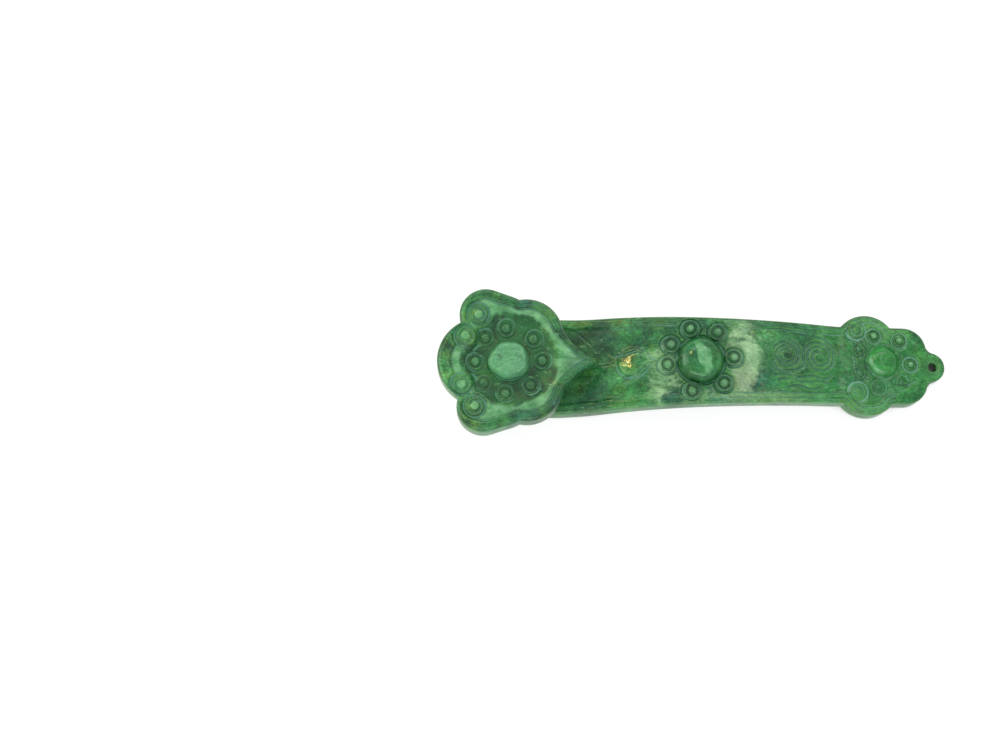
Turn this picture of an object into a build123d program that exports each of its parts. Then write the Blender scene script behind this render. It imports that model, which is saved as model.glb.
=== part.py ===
from build123d import *
import os
from math import acos, asin, atan2, cos, degrees, hypot, radians, sin, sqrt

# Whole scepter, from the front of the head to the end of the lug
overall_length = 115.6

# Shaft in side view: flat seat under the head, hollow neck, long arch, reversed curve, sloping tail
shaft_thickness = 5.0
seat_reach = 6.0
head_setback = 11.1
neck_radius = 25.0
arch_rise = 6.5
arch_head_radius = 60.0
tail_curve_radius = 25.0
tail_slope = 6.0
rest_flat_depth = 0.3

# Shaft in plan, and the sunken fields between its borders
neck_width = 22.2
joint_width = 17.8
seat_corner_radius = 6.0
shaft_edge_bevel = 0.7
border_width = 2.3
field_depth = 0.45
field_end_gap = 2.0
field_corner_radius = 2.5

# Head in plan, measured from the middle of its boss, and in side view
head_width = 33.0
head_front = 16.15
head_tip = 20.0
front_lobe_radius = 9.8
side_lobe_radius = 5.9
side_lobe_back = 5.2
left_lobe_lead = 0.65
shoulder_radius = 6.6
shoulder_back = 1.2
shoulder_half_width = 15.0
rear_lobe_radius = 8.2
rear_lobe_ahead = 4.0
rear_lobe_half_width = 14.1
heart_back = 3.1
flank_radius = 11.5
tip_half_width = 0.7
head_thickness = 7.2
head_edge_bevel = 0.8
point_edge_bevel = 0.5
head_under_bevel = 1.2
tip_fall_start = 11.5
tip_fall_radius = 25.0

# Head relief: rim, ledge, round dish
rim_width = 2.6
ledge_depth = 0.4
dish_radius = 11.0
dish_wall_run = 0.9
dish_depth = 1.4

# Scroll eyes on the lobes of the head and the tail
eye_radius = 2.3
eye_moat = 0.4
eye_height = 0.9
eye_lead = 0.45
outer_eye_back = 7.2
outer_eye_half_gap = 10.5
inner_eye_back = 10.2
inner_eye_half_gap = 5.6
tail_eye_radius = 2.0
tail_eye_ahead = 3.2
tail_eye_half_gap = 7.1

# Tail in plan, measured from its joint with the shaft
side_leaf_radius = 7.2
side_leaf_ahead = 5.65
end_lobe_half_width = 8.9
end_lobe_radius = 5.4
end_lobe_ahead = 14.3
tail_edge_bevel = 0.7
tail_rim_width = 1.5
tail_field_depth = 0.4
lug_radius = 3.4
lug_ahead = 20.6
lug_thickness = 3.2
cord_hole_ahead = 21.1
cord_hole_radius = 1.1

# Bosses, beads and the peach
head_boss_radius = 4.3
head_boss_height = 2.3
head_boss_flat_radius = 3.4
head_boss_shoulder = 0.9
middle_back = 0.7
middle_boss_radius = 5.2
middle_boss_height = 3.0
tail_boss_radius = 3.9
tail_boss_height = 1.9
tail_boss_ahead = 9.4
tail_carving_side = 0.9
head_ring_radius = 7.5
head_bead_radius = 2.05
head_bead_turns = (0, 42, 94, 135, 181, 222, 264, 311)
middle_ring_radius = 7.4
middle_bead_radius = 1.95
middle_bead_turns = (4, 58, 107, 151, 188, 254, 313)
tail_ring_radius = 6.2
tail_bead_radius = 1.8
tail_bead_turns = (-6, 52, 110, 154, 206, 257, 309)
bead_height = 1.1
bead_collar = 0.5
bead_rim_width = 0.6
bead_groove_width = 0.55
bead_groove_depth = 0.45
bead_sides = 10
crown_steps = 5
peach_back = 15.9
peach_radius = 3.7
peach_point_ahead = 4.7
peach_point_radius = 0.4
peach_height = 1.1

# Joints between the pieces
boss_seat_depth = 1.2
bead_seat_depth = 0.8
fit_clearance = 0.05
head_tenon_length = 9.0
head_tenon_width = 7.0
head_tenon_height = 2.0
tenon_corner_radius = 1.5
tail_tongue_length = 5.0
tail_tongue_width = 10.0
tail_tongue_thickness = 1.8

# Sizes that follow from those above, with the top of the arch at x = 0
reach = 200.0
half_thickness = shaft_thickness / 2
slope = radians(tail_slope)
rise_angle = acos(1 - arch_rise / (neck_radius + arch_head_radius))
arch_top = half_thickness + arch_rise
neck_start = -(neck_radius + arch_head_radius) * sin(rise_angle)
head_x = neck_start - head_setback
seat_start = head_x - seat_reach
tail_end = end_lobe_ahead + end_lobe_radius
tail_reach = (lug_ahead + lug_radius) * cos(slope) + lug_thickness / 2 * sin(slope)
joint_x = overall_length + head_x - head_front - tail_reach
tail_run = joint_x + tail_curve_radius * sin(slope)
tail_drop = (
    arch_rise + rest_flat_depth + half_thickness * (1 - cos(slope))
    - tail_curve_radius * cos(slope) - tail_end * sin(slope)
)
arch_tail_radius = (tail_drop**2 + tail_run**2 - tail_curve_radius**2) / (
    2 * (tail_curve_radius + tail_drop)
)
fall_angle = asin(tail_run / (arch_tail_radius + tail_curve_radius))
neck_center = (neck_start, half_thickness + neck_radius)
arch_head_center = (0, arch_top - arch_head_radius)
arch_tail_center = (0, arch_top - arch_tail_radius)
tail_curve_center = (
    tail_run,
    arch_tail_center[1] + (arch_tail_radius + tail_curve_radius) * cos(fall_angle),
)
joint_z = tail_curve_center[1] - tail_curve_radius * cos(slope)
head_place = Pos(head_x, 0, shaft_thickness)
tail_plane = Plane(
    origin=(joint_x + half_thickness * sin(slope), 0, joint_z + half_thickness * cos(slope)),
    x_dir=(cos(slope), 0, -sin(slope)),
    z_dir=(sin(slope), 0, cos(slope)),
)
dish_floor = head_thickness - ledge_depth - dish_depth
rear_lobe_start = degrees(acos(-(heart_back + rear_lobe_ahead) / rear_lobe_radius))


def shaft_line(lift):
    """Side-view edges that run along the shaft at a height above its middle line."""
    level = half_thickness + lift
    return [
        Line((seat_start, level), (neck_start, level)),
        CenterArc(neck_center, neck_radius - lift, -90, degrees(rise_angle)),
        CenterArc(arch_head_center, arch_head_radius + lift, 90 + degrees(rise_angle), -degrees(rise_angle)),
        CenterArc(arch_tail_center, arch_tail_radius + lift, 90, -degrees(fall_angle)),
        CenterArc(
            tail_curve_center, tail_curve_radius - lift,
            -90 - degrees(fall_angle), degrees(fall_angle) - tail_slope,
        ),
    ]


def side_solid(edges):
    """Solid across the whole width from closed side-view edges."""
    return extrude(Plane.XZ * make_face(edges), amount=reach, both=True)


def shaft_band(low, high):
    """Solid between two heights above the shaft's middle line, across the whole width."""
    bottom = shaft_line(low)
    top = shaft_line(high)
    ends = [Line(bottom[0] @ 0, top[0] @ 0), Line(bottom[-1] @ 1, top[-1] @ 1)]
    return side_solid(bottom + top + ends)


def over_shaft(depth):
    """Side-view edges round everything higher than a depth below the shaft's top face."""
    edges = shaft_line(half_thickness - depth)
    first = edges[0] @ 0
    last = edges[-1] @ 1
    roof = Polyline((first.X, first.Y), (first.X, reach), (last.X, reach), (last.X, last.Y))
    return edges + [roof]


def above_shaft(depth):
    """Everything higher than a depth below the shaft's top face."""
    return side_solid(over_shaft(depth))


def half_width(x):
    """Half the shaft's width, constant on the seat and tapering from the neck to the tail joint."""
    share = max(0.0, (x - neck_start) / (joint_x - neck_start))
    return (neck_width + (joint_width - neck_width) * share) / 2


def shaft_strip(start, end, inset):
    """Plan of the shaft between two places along it, drawn in from both long edges."""
    stops = sorted({start, max(start, neck_start), end})
    right = [(x, half_width(x) - inset) for x in stops]
    left = [(x, -y) for x, y in reversed(right)]
    return make_face(Polyline(*right, *left, close=True))


def past_bevel(side):
    """Everything outside the bevel that follows the arch along one long top edge."""
    taper = degrees(atan2(neck_width - joint_width, 2 * (joint_x - neck_start)))
    wall = Pos(0, side * half_width(0), -shaft_edge_bevel) * Rot(0, 0, -side * taper)
    edge_view = wall * (Plane.XZ * make_face(over_shaft(0)))
    return extrude(edge_view, amount=reach, dir=(0, side, -1), both=True)


def arch_place(x, y):
    """Place on the arch's top face, with Z along the normal there."""
    radius = arch_tail_radius if x >= 0 else arch_head_radius
    lean = asin(x / (radius + half_thickness))
    height = arch_top - radius + (radius + half_thickness) * cos(lean)
    return Pos(x, y, height) * Rot(0, degrees(lean), 0)


def ring_places(turns, radius):
    """Plan positions round a ring, at angles from the tail's direction; hand work left them uneven."""
    return [(radius * cos(radians(turn)), radius * sin(radians(turn))) for turn in turns]


def bead_plan(radius):
    """Plan of a bead, ground to a round with many small flats."""
    return RegularPolygon(radius, bead_sides)


def boss_socket(radius):
    """Round socket for a seated boss, open upward from its place."""
    depth = boss_seat_depth
    return Pos(0, 0, -depth) * extrude(Circle(radius + fit_clearance), amount=depth + bead_height)


def bead_socket(radius):
    """Socket for a seated bead, open upward from its place."""
    depth = bead_seat_depth
    return Pos(0, 0, -depth) * extrude(bead_plan(radius + fit_clearance), amount=depth + bead_height)


def turned(edges):
    """Solid turned about Z from its closed half section."""
    return revolve(Plane.XZ * make_face(edges), axis=Axis.Z)


def crown(radius, height):
    """Half section of a domed top in narrow ground bevels, from its edge to its middle."""
    ball = (radius**2 + height**2) / (2 * height)
    lean = asin(min(1.0, radius / ball))
    leans = [lean * (1 - i / crown_steps) for i in range(crown_steps + 1)]
    return [(ball * sin(a), height - ball * (1 - cos(a))) for a in leans]


def ring_bead(radius, seat, height):
    """Bead on a seat, with the ring groove that a tube drill leaves between its rim and core."""
    rim_inner = radius - bead_rim_width
    ring = bead_plan(rim_inner) - bead_plan(rim_inner - bead_groove_width)
    bead = Pos(0, 0, -seat) * extrude(bead_plan(radius), amount=seat + height)
    return bead - Pos(0, 0, height) * extrude(ring, amount=-bead_groove_depth)


def dome_boss(radius, height):
    """Plain domed boss on a round seat."""
    seat = [(0, -boss_seat_depth), (radius, -boss_seat_depth)]
    return turned(Polyline(*seat, *crown(radius, height), close=True))


def table_boss():
    """Head boss: a drum with a bevelled shoulder and a flat top."""
    return turned(
        Polyline(
            (0, head_boss_height), (0, -boss_seat_depth), (head_boss_radius, -boss_seat_depth),
            (head_boss_radius, head_boss_height - head_boss_shoulder),
            (head_boss_flat_radius, head_boss_height), close=True,
        )
    )


def peach():
    """Peach in low relief: a round fruit drawn out to a point, with a domed top."""
    touch = degrees(acos((peach_radius - peach_point_radius) / peach_point_ahead))
    fruit = CenterArc((0, 0), peach_radius, touch, 360 - 2 * touch)
    point = CenterArc((peach_point_ahead, 0), peach_point_radius, -touch, 2 * touch)
    outline = make_face([fruit, Line(fruit @ 1, point @ 0), point, Line(point @ 1, fruit @ 0)])
    ball = (peach_point_ahead**2 + peach_height**2) / (2 * peach_height)
    body = Pos(0, 0, -field_depth) * extrude(outline, amount=field_depth + peach_height)
    return body & Pos(0, 0, peach_height - ball) * Sphere(ball)


def head_lobes(inset=0.0):
    """Plans of the front lobe and of the two side lobes with their shoulders."""
    lobes = [Pos(front_lobe_radius - head_front) * Circle(front_lobe_radius - inset)]
    for side in (1, -1):
        lead = left_lobe_lead if side < 0 else 0
        lobe = Pos(-side_lobe_back - lead, side * (head_width / 2 - side_lobe_radius))
        shoulder = Pos(-shoulder_back, side * (shoulder_half_width - shoulder_radius))
        lobe_edges = (lobe * Circle(side_lobe_radius - inset)).edges()
        shoulder_edges = (shoulder * Circle(shoulder_radius - inset)).edges()
        lobes.append(make_hull(lobe_edges + shoulder_edges))
    return lobes


def head_heart(inset=0.0):
    """Plan of the two rear lobes and the hollow-sided point that they run out to, toward the tail."""
    lobe_y = rear_lobe_half_width - rear_lobe_radius
    run = hypot(head_tip - rear_lobe_ahead, lobe_y - tip_half_width)
    lean = -atan2(lobe_y - tip_half_width, head_tip - rear_lobe_ahead)
    both = rear_lobe_radius + flank_radius
    turn = lean + acos((both**2 + run**2 - flank_radius**2) / (2 * both * run))
    hollow_x = rear_lobe_ahead + both * cos(turn)
    hollow_y = lobe_y + both * sin(turn)
    lobe_radius = rear_lobe_radius - inset
    hollow_radius = flank_radius + inset
    tip_y = max(0.0, tip_half_width - inset)
    tip_turn = degrees(asin((hollow_y - tip_y) / hollow_radius))
    flank_turn = degrees(turn)
    edges = []
    for side in (1, -1):
        lobe = (rear_lobe_ahead, side * lobe_y)
        hollow = (hollow_x, side * hollow_y)
        lobe_arc = (side * rear_lobe_start, side * (flank_turn - rear_lobe_start))
        flank_arc = (side * (180 + flank_turn), side * (tip_turn - flank_turn))
        edges.append(CenterArc(lobe, lobe_radius, *lobe_arc))
        edges.append(CenterArc(hollow, hollow_radius, *flank_arc))
    edges.append(Line(edges[0] @ 0, edges[2] @ 0))
    if tip_y > 0:
        edges.append(Line(edges[1] @ 1, edges[3] @ 1))
    return make_face(edges)


def head_outline(inset):
    """Plan of the whole head, drawn in from its edge."""
    outline = head_heart(inset)
    for lobe in head_lobes(inset):
        outline += lobe
    return outline


def bevelled_block(plan, top_bevel, under_bevel):
    """Block as thick as the head, bevelled along its top edge and below."""
    block = extrude(plan, amount=head_thickness)
    block = chamfer(block.edges().group_by(Axis.Z)[0], under_bevel)
    return chamfer(block.edges().group_by(Axis.Z)[-1], top_bevel)


def head_plate():
    """Head plate before carving."""
    plate = bevelled_block(head_heart(), point_edge_bevel, point_edge_bevel)
    for lobe in head_lobes():
        plate += bevelled_block(lobe, head_edge_bevel, head_under_bevel)
    return plate - above_head(0)


def above_head(depth):
    """Everything higher than a depth below the head's top, which falls away toward the point."""
    level = head_thickness - depth
    turn = degrees(asin((head_tip - tip_fall_start) / tip_fall_radius))
    bend = CenterArc((tip_fall_start, level - tip_fall_radius), tip_fall_radius, 90, -turn)
    end = bend @ 1
    flat = Line((-reach, level), (tip_fall_start, level))
    roof = Polyline((end.X, end.Y), (reach, end.Y), (reach, reach), (-reach, reach), (-reach, level))
    return side_solid([flat, bend, roof])


def scroll_eye(radius, depth):
    """Scroll eye and the moat round it: the solid to cut away and the solid to put back."""
    moat = Pos(0, 0, -depth) * extrude(bead_plan(radius + eye_moat), amount=reach)
    return moat, Pos(0, 0, -depth) * ring_bead(radius, fit_clearance, eye_height)


def head_plaque():
    """Lobed head with its rim, ledge, dish, scroll eyes, sockets and the mortise underneath."""
    plate = head_plate()
    plate -= extrude(head_outline(rim_width), amount=reach) & above_head(ledge_depth)
    dish = Cone(
        dish_radius - dish_wall_run, dish_radius, dish_depth,
        align=(Align.CENTER, Align.CENTER, Align.MIN),
    )
    plate -= Pos(0, 0, dish_floor) * dish
    for back, gap in ((outer_eye_back, outer_eye_half_gap), (inner_eye_back, inner_eye_half_gap)):
        for side in (1, -1):
            place = Pos(side * eye_lead - back, side * gap, head_thickness)
            moat, eye = scroll_eye(eye_radius, ledge_depth + dish_depth / 2)
            plate = plate - place * moat + place * eye
    plate -= Pos(0, 0, dish_floor) * boss_socket(head_boss_radius)
    for x, y in ring_places(head_bead_turns, head_ring_radius):
        plate -= Pos(x, y, dish_floor) * bead_socket(head_bead_radius)
    plate -= head_tenon(fit_clearance)
    neck = shaft_band(-half_thickness, half_thickness + fit_clearance)
    ahead = Pos(neck_start) * Box(reach, reach, reach, align=(Align.MIN, Align.CENTER, Align.CENTER))
    return head_place * plate - (neck & ahead)


def head_tenon(clearance):
    """Tenon that stands on the shaft's seat, or its mortise when a clearance is added."""
    plan = RectangleRounded(
        head_tenon_length + 2 * clearance, head_tenon_width + 2 * clearance, tenon_corner_radius + clearance
    )
    return extrude(plan, amount=head_tenon_height + clearance)


def tail_tongue(clearance):
    """Tongue at the shaft's tail end, or its mortise when a clearance is added."""
    return Pos(0, 0, -half_thickness) * Box(
        tail_tongue_length + clearance, tail_tongue_width + 2 * clearance,
        tail_tongue_thickness + 2 * clearance, align=(Align.MIN, Align.CENTER, Align.CENTER),
    )


def field_plan():
    """Sunken fields of the shaft, which leave a collar round each bead of the middle ring."""
    strip = shaft_strip(neck_start, joint_x - field_end_gap, border_width)
    strip = fillet(strip.vertices(), field_corner_radius)
    strip -= Pos(-middle_back) * Circle(middle_ring_radius)
    for x, y in ring_places(middle_bead_turns, middle_ring_radius):
        strip -= Pos(x - middle_back, y) * bead_plan(middle_bead_radius + bead_collar)
    return strip


def shaft():
    """Arched shaft with borders, fields, sockets, peach, head tenon and tail tongue."""
    plan = shaft_strip(seat_start, joint_x + shaft_thickness, 0)
    plan = fillet(plan.vertices().group_by(Axis.X)[0], seat_corner_radius)
    body = shaft_band(-half_thickness, half_thickness) & extrude(plan, amount=reach, both=True)
    for side in (1, -1):
        body -= past_bevel(side)
    body -= extrude(field_plan(), amount=reach) & above_shaft(field_depth)
    body += arch_place(-peach_back, 0) * Pos(0, 0, -field_depth) * peach()
    body -= middle_place(0, 0) * boss_socket(middle_boss_radius)
    for x, y in ring_places(middle_bead_turns, middle_ring_radius):
        body -= middle_place(x, y) * bead_socket(middle_bead_radius)
    return body + head_place * head_tenon(0) + tail_plane * tail_tongue(0)


def tail_lobes(inset=0.0):
    """Plans of the two side leaves and the blunt end lobe of the tail, from its joint with the shaft."""
    leaf_y = joint_width / 2 - sqrt(side_leaf_radius**2 - side_leaf_ahead**2)
    corner_y = end_lobe_half_width - end_lobe_radius
    lobes = [Pos(side_leaf_ahead, side * leaf_y) * Circle(side_leaf_radius - inset) for side in (1, -1)]
    corners = [Pos(end_lobe_ahead, side * corner_y) * Circle(end_lobe_radius - inset) for side in (1, -1)]
    return lobes + [make_hull(corners[0].edges() + corners[1].edges())]


def tail_field():
    """Plan of the tail's sunken field, inside its rim."""
    field = Pos(end_lobe_ahead / 2) * Rectangle(end_lobe_ahead, joint_width - 2 * tail_rim_width)
    for lobe in tail_lobes(tail_rim_width):
        field += lobe
    behind = Rectangle(reach, reach, align=(Align.MAX, Align.CENTER))
    return field - Pos(tail_rim_width) * behind


def tail_plate():
    """Tail before carving: a core as wide as the shaft, with rounded lobes and the lug."""
    section = Rectangle(joint_width, shaft_thickness)
    plate = extrude(Plane.YZ * chamfer(section.vertices(), tail_edge_bevel), amount=end_lobe_ahead)
    for lobe in tail_lobes():
        block = extrude(lobe, amount=half_thickness, both=True)
        levels = block.edges().group_by(Axis.Z)
        plate += chamfer(levels[0] + levels[-1], tail_edge_bevel)
    lug = Pos(lug_ahead) * Cylinder(lug_radius, lug_thickness)
    neck = Box(
        lug_ahead - end_lobe_ahead, 2 * lug_radius, lug_thickness,
        align=(Align.MAX, Align.CENTER, Align.CENTER),
    )
    behind = Box(reach, reach, reach, align=(Align.MAX, Align.CENTER, Align.CENTER))
    return Pos(0, 0, -half_thickness) * (plate + lug + Pos(lug_ahead) * neck - behind)


def tail_plaque():
    """Lobed tail with its lug, cord hole, field, scroll eyes, sockets and the mortise for the tongue."""
    plate = tail_plate()
    plate -= Pos(cord_hole_ahead, 0, -half_thickness) * Cylinder(cord_hole_radius, reach)
    plate -= Pos(0, 0, -tail_field_depth) * extrude(tail_field(), amount=reach)
    for side in (1, -1):
        place = Pos(tail_eye_ahead, tail_carving_side + side * tail_eye_half_gap)
        moat, eye = scroll_eye(tail_eye_radius, tail_field_depth)
        plate = plate - place * moat + place * eye
    floor = Pos(tail_boss_ahead, tail_carving_side, -tail_field_depth)
    plate -= floor * boss_socket(tail_boss_radius)
    for x, y in ring_places(tail_bead_turns, tail_ring_radius):
        plate -= floor * Pos(x, y) * bead_socket(tail_bead_radius)
    plate -= tail_tongue(fit_clearance)
    table = Box(2 * reach, 2 * reach, reach, align=(Align.CENTER, Align.CENTER, Align.MAX))
    return tail_plane * plate - table


def beads(name, turns, ring_radius, radius, place):
    """One ring of beads as separate named pieces, each set at the place given for its plan position."""
    places = ring_places(turns, ring_radius)
    bead = ring_bead(radius, bead_seat_depth, bead_height)
    return {f"{name}_bead_{i}": place(x, y) * bead for i, (x, y) in enumerate(places, 1)}


def middle_place(x, y):
    """Place on the arch's top face, measured from the middle of its boss."""
    return arch_place(x - middle_back, y)


def head_floor_place(x, y):
    """Place on the floor of the head's dish."""
    return head_place * Pos(x, y, dish_floor)


def tail_field_place(x, y):
    """Place on the tail's sunken field, measured from the middle of its boss."""
    return tail_plane.location * Pos(tail_boss_ahead + x, tail_carving_side + y, -tail_field_depth)


pieces = {
    "shaft": shaft(),
    "head_plaque": head_plaque(),
    "tail_plaque": tail_plaque(),
    "head_boss": head_floor_place(0, 0) * table_boss(),
    "middle_boss": middle_place(0, 0) * dome_boss(middle_boss_radius, middle_boss_height),
    "tail_boss": tail_field_place(0, 0) * dome_boss(tail_boss_radius, tail_boss_height),
}
pieces |= beads("head", head_bead_turns, head_ring_radius, head_bead_radius, head_floor_place)
pieces |= beads("middle", middle_bead_turns, middle_ring_radius, middle_bead_radius, middle_place)
pieces |= beads("tail", tail_bead_turns, tail_ring_radius, tail_bead_radius, tail_field_place)

# The origin is the middle of the whole scepter on the surface that it rests on
box = Compound(list(pieces.values())).bounding_box()
to_origin = Pos(-box.center().X, -box.center().Y, -box.min.Z)
os.makedirs("parts", exist_ok=True)
for name, piece in pieces.items():
    export_step(to_origin * piece, f"parts/{name}.step")

hole = (to_origin * tail_plane.location * Pos(cord_hole_ahead, 0, -half_thickness)).position
print("size", [round(v, 2) for v in box.size])
print("head middle x", round(head_x - box.center().X, 3), "arch top x", round(-box.center().X, 3))
print("cord hole", [round(v, 3) for v in hole], "joint x", round(joint_x - box.center().X, 3))
print("rise angle", round(degrees(rise_angle), 2), "fall angle", round(degrees(fall_angle), 2))
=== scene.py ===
# %% [markdown]
# # A jade ruyi scepter
# The real object is a small scepter of mottled green jade: a lobed cloud head, an arched shaft with a rosette
# in the middle, and a lobed tail with a cord hole. It was sawn, drilled and ground by hand and then polished.
# The solids give every size. Here the same forms are built again as finer meshes, so that soft edges, cut
# lines and the stone's clouds can be shown. The solids themselves are loaded first and are never changed.

# %% Load the frame
import math

import bmesh
import bpy
import numpy as np
from mathutils import Matrix, Vector, kdtree


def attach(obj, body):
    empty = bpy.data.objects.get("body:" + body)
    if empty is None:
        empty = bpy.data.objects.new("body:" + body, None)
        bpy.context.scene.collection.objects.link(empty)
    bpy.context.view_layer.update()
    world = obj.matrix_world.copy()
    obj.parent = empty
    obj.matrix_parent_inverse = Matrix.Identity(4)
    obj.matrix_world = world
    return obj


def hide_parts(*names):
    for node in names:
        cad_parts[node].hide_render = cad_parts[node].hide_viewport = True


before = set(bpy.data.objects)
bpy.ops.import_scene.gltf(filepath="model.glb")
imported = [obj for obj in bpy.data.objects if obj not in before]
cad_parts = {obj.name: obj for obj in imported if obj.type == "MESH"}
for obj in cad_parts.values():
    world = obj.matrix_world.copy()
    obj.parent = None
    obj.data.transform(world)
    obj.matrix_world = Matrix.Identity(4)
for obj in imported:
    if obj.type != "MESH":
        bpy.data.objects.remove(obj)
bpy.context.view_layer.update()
MM = 0.001

# %% [markdown]
# ## The middle line
# The shaft is a bar that lies flat under the head, rises through a hollow neck, runs over a long arch and
# slopes down to the tail. In side view these are straight lines and arcs that meet without a kink. The maker
# would draw that line on the sawn slab. A curve object could be swept along it, but then no point could be
# asked for its place. So the line is a function here: give it a length and it gives a place and the lean of
# the surface there. A few driving sizes fix it: the last arc is the one that brings the tail to the table.

# %% Sizes of the side view, in millimetres
OVERALL_LENGTH, HALF, ARCH_RISE, REST_FLAT = 115.6, 2.5, 6.5, 0.3
NECK_RADIUS, ARCH_HEAD_RADIUS, TAIL_CURVE_RADIUS = 25.0, 60.0, 25.0
SLOPE = math.radians(6)
HEAD_FRONT, HEAD_SETBACK = 16.15, 11.1
END_RADIUS, END_AHEAD = 5.4, 14.3
LUG_RADIUS, LUG_AHEAD, LUG_HALF = 3.4, 20.6, 1.6

TAIL_END = END_AHEAD + END_RADIUS
ARCH_TOP = HALF + ARCH_RISE
RISE = math.acos(1 - ARCH_RISE / (NECK_RADIUS + ARCH_HEAD_RADIUS))
NECK_X = -(NECK_RADIUS + ARCH_HEAD_RADIUS) * math.sin(RISE)
HEAD_X = HEAD_FRONT - OVERALL_LENGTH / 2
ARCH_X = HEAD_X + HEAD_SETBACK - NECK_X
LUG_REACH = (LUG_AHEAD + LUG_RADIUS) * math.cos(SLOPE) + LUG_HALF * math.sin(SLOPE)
JOINT_X = OVERALL_LENGTH / 2 - LUG_REACH - ARCH_X
TAIL_X = JOINT_X + TAIL_CURVE_RADIUS * math.sin(SLOPE)
TAIL_DROP = (ARCH_RISE + REST_FLAT + HALF * (1 - math.cos(SLOPE))
             - TAIL_CURVE_RADIUS * math.cos(SLOPE) - TAIL_END * math.sin(SLOPE))
ARCH_TAIL_RADIUS = (TAIL_DROP**2 + TAIL_X**2 - TAIL_CURVE_RADIUS**2) / (2 * (TAIL_CURVE_RADIUS + TAIL_DROP))
FALL = math.asin(TAIL_X / (ARCH_TAIL_RADIUS + TAIL_CURVE_RADIUS))
TAIL_Z = ARCH_TOP - ARCH_TAIL_RADIUS + (ARCH_TAIL_RADIUS + TAIL_CURVE_RADIUS) * math.cos(FALL)
JOINT_Z = TAIL_Z - TAIL_CURVE_RADIUS * math.cos(SLOPE)
NECK_S = -(NECK_RADIUS + ARCH_HEAD_RADIUS) * RISE
ARCH_S = -ARCH_HEAD_RADIUS * RISE
FALL_S = ARCH_TAIL_RADIUS * FALL
JOINT_S = FALL_S + TAIL_CURVE_RADIUS * (FALL - SLOPE)
print("arch top at x", round(ARCH_X, 3), "with a tail arc of radius", round(ARCH_TAIL_RADIUS, 3))


# %% Side view of the scepter as a function of length
def middle_line(s):
    """X, Z and the lean of the normal at lengths s along the middle line, with 0 at the arch's top."""
    neck = (s - NECK_S) / NECK_RADIUS
    head = s / ARCH_HEAD_RADIUS
    fall = s / ARCH_TAIL_RADIUS
    curve = FALL - (s - FALL_S) / TAIL_CURVE_RADIUS
    run = s - JOINT_S
    spans = [s < NECK_S, s < ARCH_S, s < 0, s < FALL_S, s < JOINT_S, s >= JOINT_S]
    x = np.select(spans, [
        NECK_X + s - NECK_S, NECK_X + NECK_RADIUS * np.sin(neck), ARCH_HEAD_RADIUS * np.sin(head),
        ARCH_TAIL_RADIUS * np.sin(fall), TAIL_X - TAIL_CURVE_RADIUS * np.sin(curve),
        JOINT_X + run * math.cos(SLOPE),
    ])
    z = np.select(spans, [
        HALF + 0 * s, HALF + NECK_RADIUS * (1 - np.cos(neck)), ARCH_TOP - ARCH_HEAD_RADIUS * (1 - np.cos(head)),
        ARCH_TOP - ARCH_TAIL_RADIUS * (1 - np.cos(fall)), TAIL_Z - TAIL_CURVE_RADIUS * np.cos(curve),
        JOINT_Z - run * math.sin(SLOPE),
    ])
    lean = np.select(spans, [0 * s, -neck, head, fall, curve, SLOPE + 0 * s])
    return x + ARCH_X, z, lean


def on_shaft(s, y, h):
    """Points at a length, a place across and a height above the middle line, in millimetres."""
    x, z, lean = middle_line(s)
    return np.stack(np.broadcast_arrays(x + h * np.sin(lean), y, z + h * np.cos(lean)), -1)


def length_at(x):
    """Length along the middle line whose top face lies at x, near the arch's top."""
    x = np.asarray(x, float) - ARCH_X
    radius = np.where(x >= 0, ARCH_TAIL_RADIUS, ARCH_HEAD_RADIUS)
    return radius * np.arcsin(x / (radius + HALF))


print("lengths: neck", round(NECK_S, 2), "arch", round(ARCH_S, 2), "joint", round(JOINT_S, 2))

# %% [markdown]
# ## Carving tools
# Every cut on the stone is one of a few shapes: a rounded edge, a sloping step, a V line from a small wheel, or
# a ring from a tube drill. Each can be written as a height that depends on the distance from an outline or a
# line, so the carving is a sum of such heights. The distances come from a search tree of the line's points.
# Sculpting by brush would look as soft, but it couldn't be repeated from a few numbers.

# %% Heights of steps, edges and hand work
HAND_WAVES, FULL_TURN = 7, 6.28


def root(value):
    """Square root that takes a value just under 0 for 0."""
    return np.sqrt(np.maximum(value, 0))


def ramp(start, end, value):
    """Smooth step from 0 at start to 1 at end."""
    t = np.clip((value - start) / (end - start), 0, 1)
    return t * t * (3 - 2 * t)


def rounded_edge(away, radius):
    """How far a rounded edge has dropped at a distance inside it."""
    t = np.clip(radius - away, 0, radius)
    return radius - root(radius * radius - t * t)


def cut(away, width, depth):
    """Depth of a ground line at a distance from its middle."""
    return -depth * np.exp(-(away / width) ** 2)


def hand(x, y, size, seed):
    """Uneven hand work: slow waves of about one size, between -1 and 1."""
    draw = np.random.default_rng(seed)
    turns = draw.uniform(0, FULL_TURN, HAND_WAVES)
    phases = draw.uniform(0, FULL_TURN, HAND_WAVES)
    stretches = draw.uniform(0.6, 1.7, HAND_WAVES)
    total = 0
    for turn, phase, stretch in zip(turns, phases, stretches):
        wave = FULL_TURN / (size * stretch)
        total = total + np.sin(wave * (np.cos(turn) * x + np.sin(turn) * y) + phase)
    return total / 4


print("a 1 mm edge drops", rounded_edge(np.array([0.0, 0.3, 1.0]), 1.0).round(2))

# %% Lines, scrolls and the distance from them
FAR_OFF = 1e3


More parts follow.
